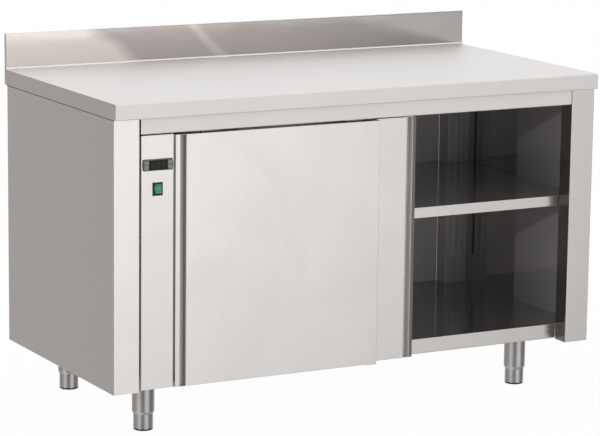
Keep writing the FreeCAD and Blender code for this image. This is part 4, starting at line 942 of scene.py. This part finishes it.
# Spans of the direction's height, or of its Y ahead, in which one light gives way to the next
LOW_TO_HIGH = (-0.08, 0.08)
TO_OVERHEAD = (0.30, 0.75)
TO_GROUND = (-0.5, -0.9)
TO_AHEAD = (-0.3, -0.7)
TO_SUNK = (-0.12, -0.45)
LIGHT_STRENGTH = 2.1
SUNK_LOSS = 1.7                          # what the strength loses low down straight ahead
GROUND_GREY = 0.42
SENSOR_WIDTH = 36.0
CLIP_NEAR, CLIP_FAR = 0.1, 200.0
FLOOR_CELLS = 8
FLOOR_DROP = 0.0002
PAPER_ROUGHNESS, PAPER_DEPTH = 0.9, 0.0005


class CABINET_OT_stage(CabinetStep):
    """Build the studio: camera, floor and soft surrounding light"""
    bl_idname = "cabinet.stage"
    bl_label = "Studio"

    def execute(self, context):
        studio = context.scene.cabinet_studio
        self.camera(context, studio)
        self.floor(context, studio)
        self.surround(context, studio)
        context.scene.view_settings.view_transform = "Standard"
        return {"FINISHED"}

    def camera(self, context, studio):
        a, e, r = studio.azimuth, studio.elevation, studio.roll
        back = Vector((math.sin(a) * math.cos(e), -math.cos(a) * math.cos(e), math.sin(e)))
        right = (-back).cross(UP).normalized()
        down = (-back).cross(right)
        across = math.cos(r) * right + math.sin(r) * down
        up = math.sin(r) * right - math.cos(r) * down
        data = bpy.data.cameras.new("photo_camera")
        data.lens, data.sensor_width, data.sensor_fit = studio.lens, SENSOR_WIDTH, "HORIZONTAL"
        data.clip_start, data.clip_end = CLIP_NEAR, CLIP_FAR
        obj = bpy.data.objects.new("photo_camera", data)
        turn = Matrix((across, up, back)).transposed().to_4x4()
        obj.matrix_world = Matrix.Translation(Vector(studio.target) + back * studio.distance) @ turn
        context.scene.collection.objects.link(obj)
        context.scene.camera = obj

    def floor(self, context, studio):
        """A pale floor that is plain white to the camera but keeps the shadow; mirrors don't see it."""
        bm = bmesh.new()
        bmesh.ops.create_grid(bm, x_segments=FLOOR_CELLS, y_segments=FLOOR_CELLS, size=studio.floor_size / 2)
        mesh = bpy.data.meshes.new("studio_floor")
        bm.to_mesh(mesh)
        bm.free()
        material, shader, nodes = start_material(
            "floor_paper", studio.floor_colour, PAPER_ROUGHNESS, Specular_IOR_Level=0.0)
        fibres = nodes.noise(nodes.place(), scale=30.0, detail=3.0)
        nodes.put(shader.inputs["Normal"], nodes.bump(fibres, PAPER_DEPTH))
        seen = nodes.add("ShaderNodeLightPath").outputs
        directly = nodes.math("MAXIMUM", seen["Is Camera Ray"], nodes.math(
            "MAXIMUM", seen["Is Glossy Ray"], seen["Is Transmission Ray"]))
        white = nodes.add("ShaderNodeEmission", None, Strength=1.0)
        share = nodes.math("MULTIPLY", directly, studio.floor_white)
        mixed = nodes.add("ShaderNodeMixShader", None, Fac=share)
        nodes.put(mixed.inputs[1], shader.outputs[0])
        nodes.put(mixed.inputs[2], white.outputs[0])
        nodes.put(material.node_tree.nodes["Material Output"].inputs["Surface"], mixed.outputs[0])
        mesh.materials.append(material)
        obj = bpy.data.objects.new("studio_floor", mesh)
        obj.location.z = -FLOOR_DROP
        obj.visible_glossy = False
        context.scene.collection.objects.link(obj)

    def light_ring(self, nodes, around, stops):
        """Light by compass direction."""
        ramp = nodes.add("ShaderNodeValToRGB", None, Fac=around)
        ramp.color_ramp.interpolation = "B_SPLINE"
        elements = ramp.color_ramp.elements
        elements.remove(elements[-1])
        placed = sorted((((angle + 90) % 360) / 360, level, warmth) for angle, level, warmth in stops)
        for k, (place, level, warmth) in enumerate(placed):
            element = elements[0] if k == 0 else elements.new(place)
            element.position = place
            element.color = (*(level / RING_TOP * (1 - tone * warmth) for tone in WARM_TONES), 1.0)
        return ramp.outputs[0]

    def surround(self, context, studio):
        """Soft light that differs by direction: strong ahead, behind on the right and above, and weak at the
        left."""
        world = bpy.data.worlds.new("studio_light")
        context.scene.world = world
        world.use_nodes = True
        nodes = Shading(world.node_tree)
        way = nodes.add("ShaderNodeTexCoord").outputs["Generated"]
        around = nodes.add("ShaderNodeTexGradient", {"gradient_type": "RADIAL"}, Vector=way).outputs[1]
        _, depth, height = nodes.parts(way)
        low, high = (self.light_ring(nodes, around, stops) for stops in (LOW_STOPS, HIGH_STOPS))
        overhead = tint((studio.overhead / RING_TOP,) * 3, 1.0)
        ground = tint((GROUND_GREY,) * 3, 1.0)
        light = nodes.blend(nodes.spread(height, *LOW_TO_HIGH), low, high)
        light = nodes.blend(nodes.spread(height, *TO_OVERHEAD), light, overhead)
        light = nodes.blend(nodes.spread(height, *TO_GROUND), light, ground)
        sunk = nodes.math("MULTIPLY", nodes.spread(depth, *TO_AHEAD), nodes.spread(height, *TO_SUNK))
        background = world.node_tree.nodes["Background"]
        nodes.put(background.inputs["Color"], light)
        nodes.put(background.inputs["Strength"], nodes.math(
            "SUBTRACT", LIGHT_STRENGTH, nodes.math("MULTIPLY", sunk, SUNK_LOSS)))


class CABINET_PT_panel(bpy.types.Panel):
    """Lists the steps and the sizes of the cabinet"""
    bl_label = "Plate warmer cabinet"
    bl_idname = "CABINET_PT_panel"
    bl_space_type = "VIEW_3D"
    bl_region_type = "UI"
    bl_category = "Cabinet"

    def draw(self, context):
        for step in STEPS:
            self.layout.operator(step.bl_idname)
        for group in ("cabinet_steel", "cabinet_controls", "cabinet_fittings", "cabinet_studio"):
            box = self.layout.box()
            settings = getattr(context.scene, group)
            for name in settings.__annotations__:
                box.prop(settings, name)


GROUPS = {
    "cabinet_steel": CabinetSteel,
    "cabinet_controls": CabinetControls,
    "cabinet_fittings": CabinetFittings,
    "cabinet_studio": CabinetStudio,
}
STEPS = (
    CABINET_OT_worktop, CABINET_OT_casing, CABINET_OT_chamber, CABINET_OT_doors, CABINET_OT_running_gear,
    CABINET_OT_controller, CABINET_OT_switch, CABINET_OT_heating, CABINET_OT_legs, CABINET_OT_screws,
    CABINET_OT_stage,
)


def register():
    for cls in (*GROUPS.values(), *STEPS, CABINET_PT_panel):
        bpy.utils.register_class(cls)
    for name, cls in GROUPS.items():
        setattr(bpy.types.Scene, name, PointerProperty(type=cls))


def unregister():
    for name in GROUPS:
        delattr(bpy.types.Scene, name)
    for cls in reversed((*GROUPS.values(), *STEPS, CABINET_PT_panel)):
        bpy.utils.unregister_class(cls)


def main():
    register()
    bpy.ops.cabinet.worktop()
    bpy.ops.cabinet.casing()
    bpy.ops.cabinet.chamber()
    bpy.ops.cabinet.doors()
    bpy.ops.cabinet.running_gear()
    bpy.ops.cabinet.controller()
    bpy.ops.cabinet.switch()
    bpy.ops.cabinet.heating()
    bpy.ops.cabinet.legs()
    bpy.ops.cabinet.screws()
    bpy.ops.cabinet.stage()


if __name__ == "__main__":
    main()
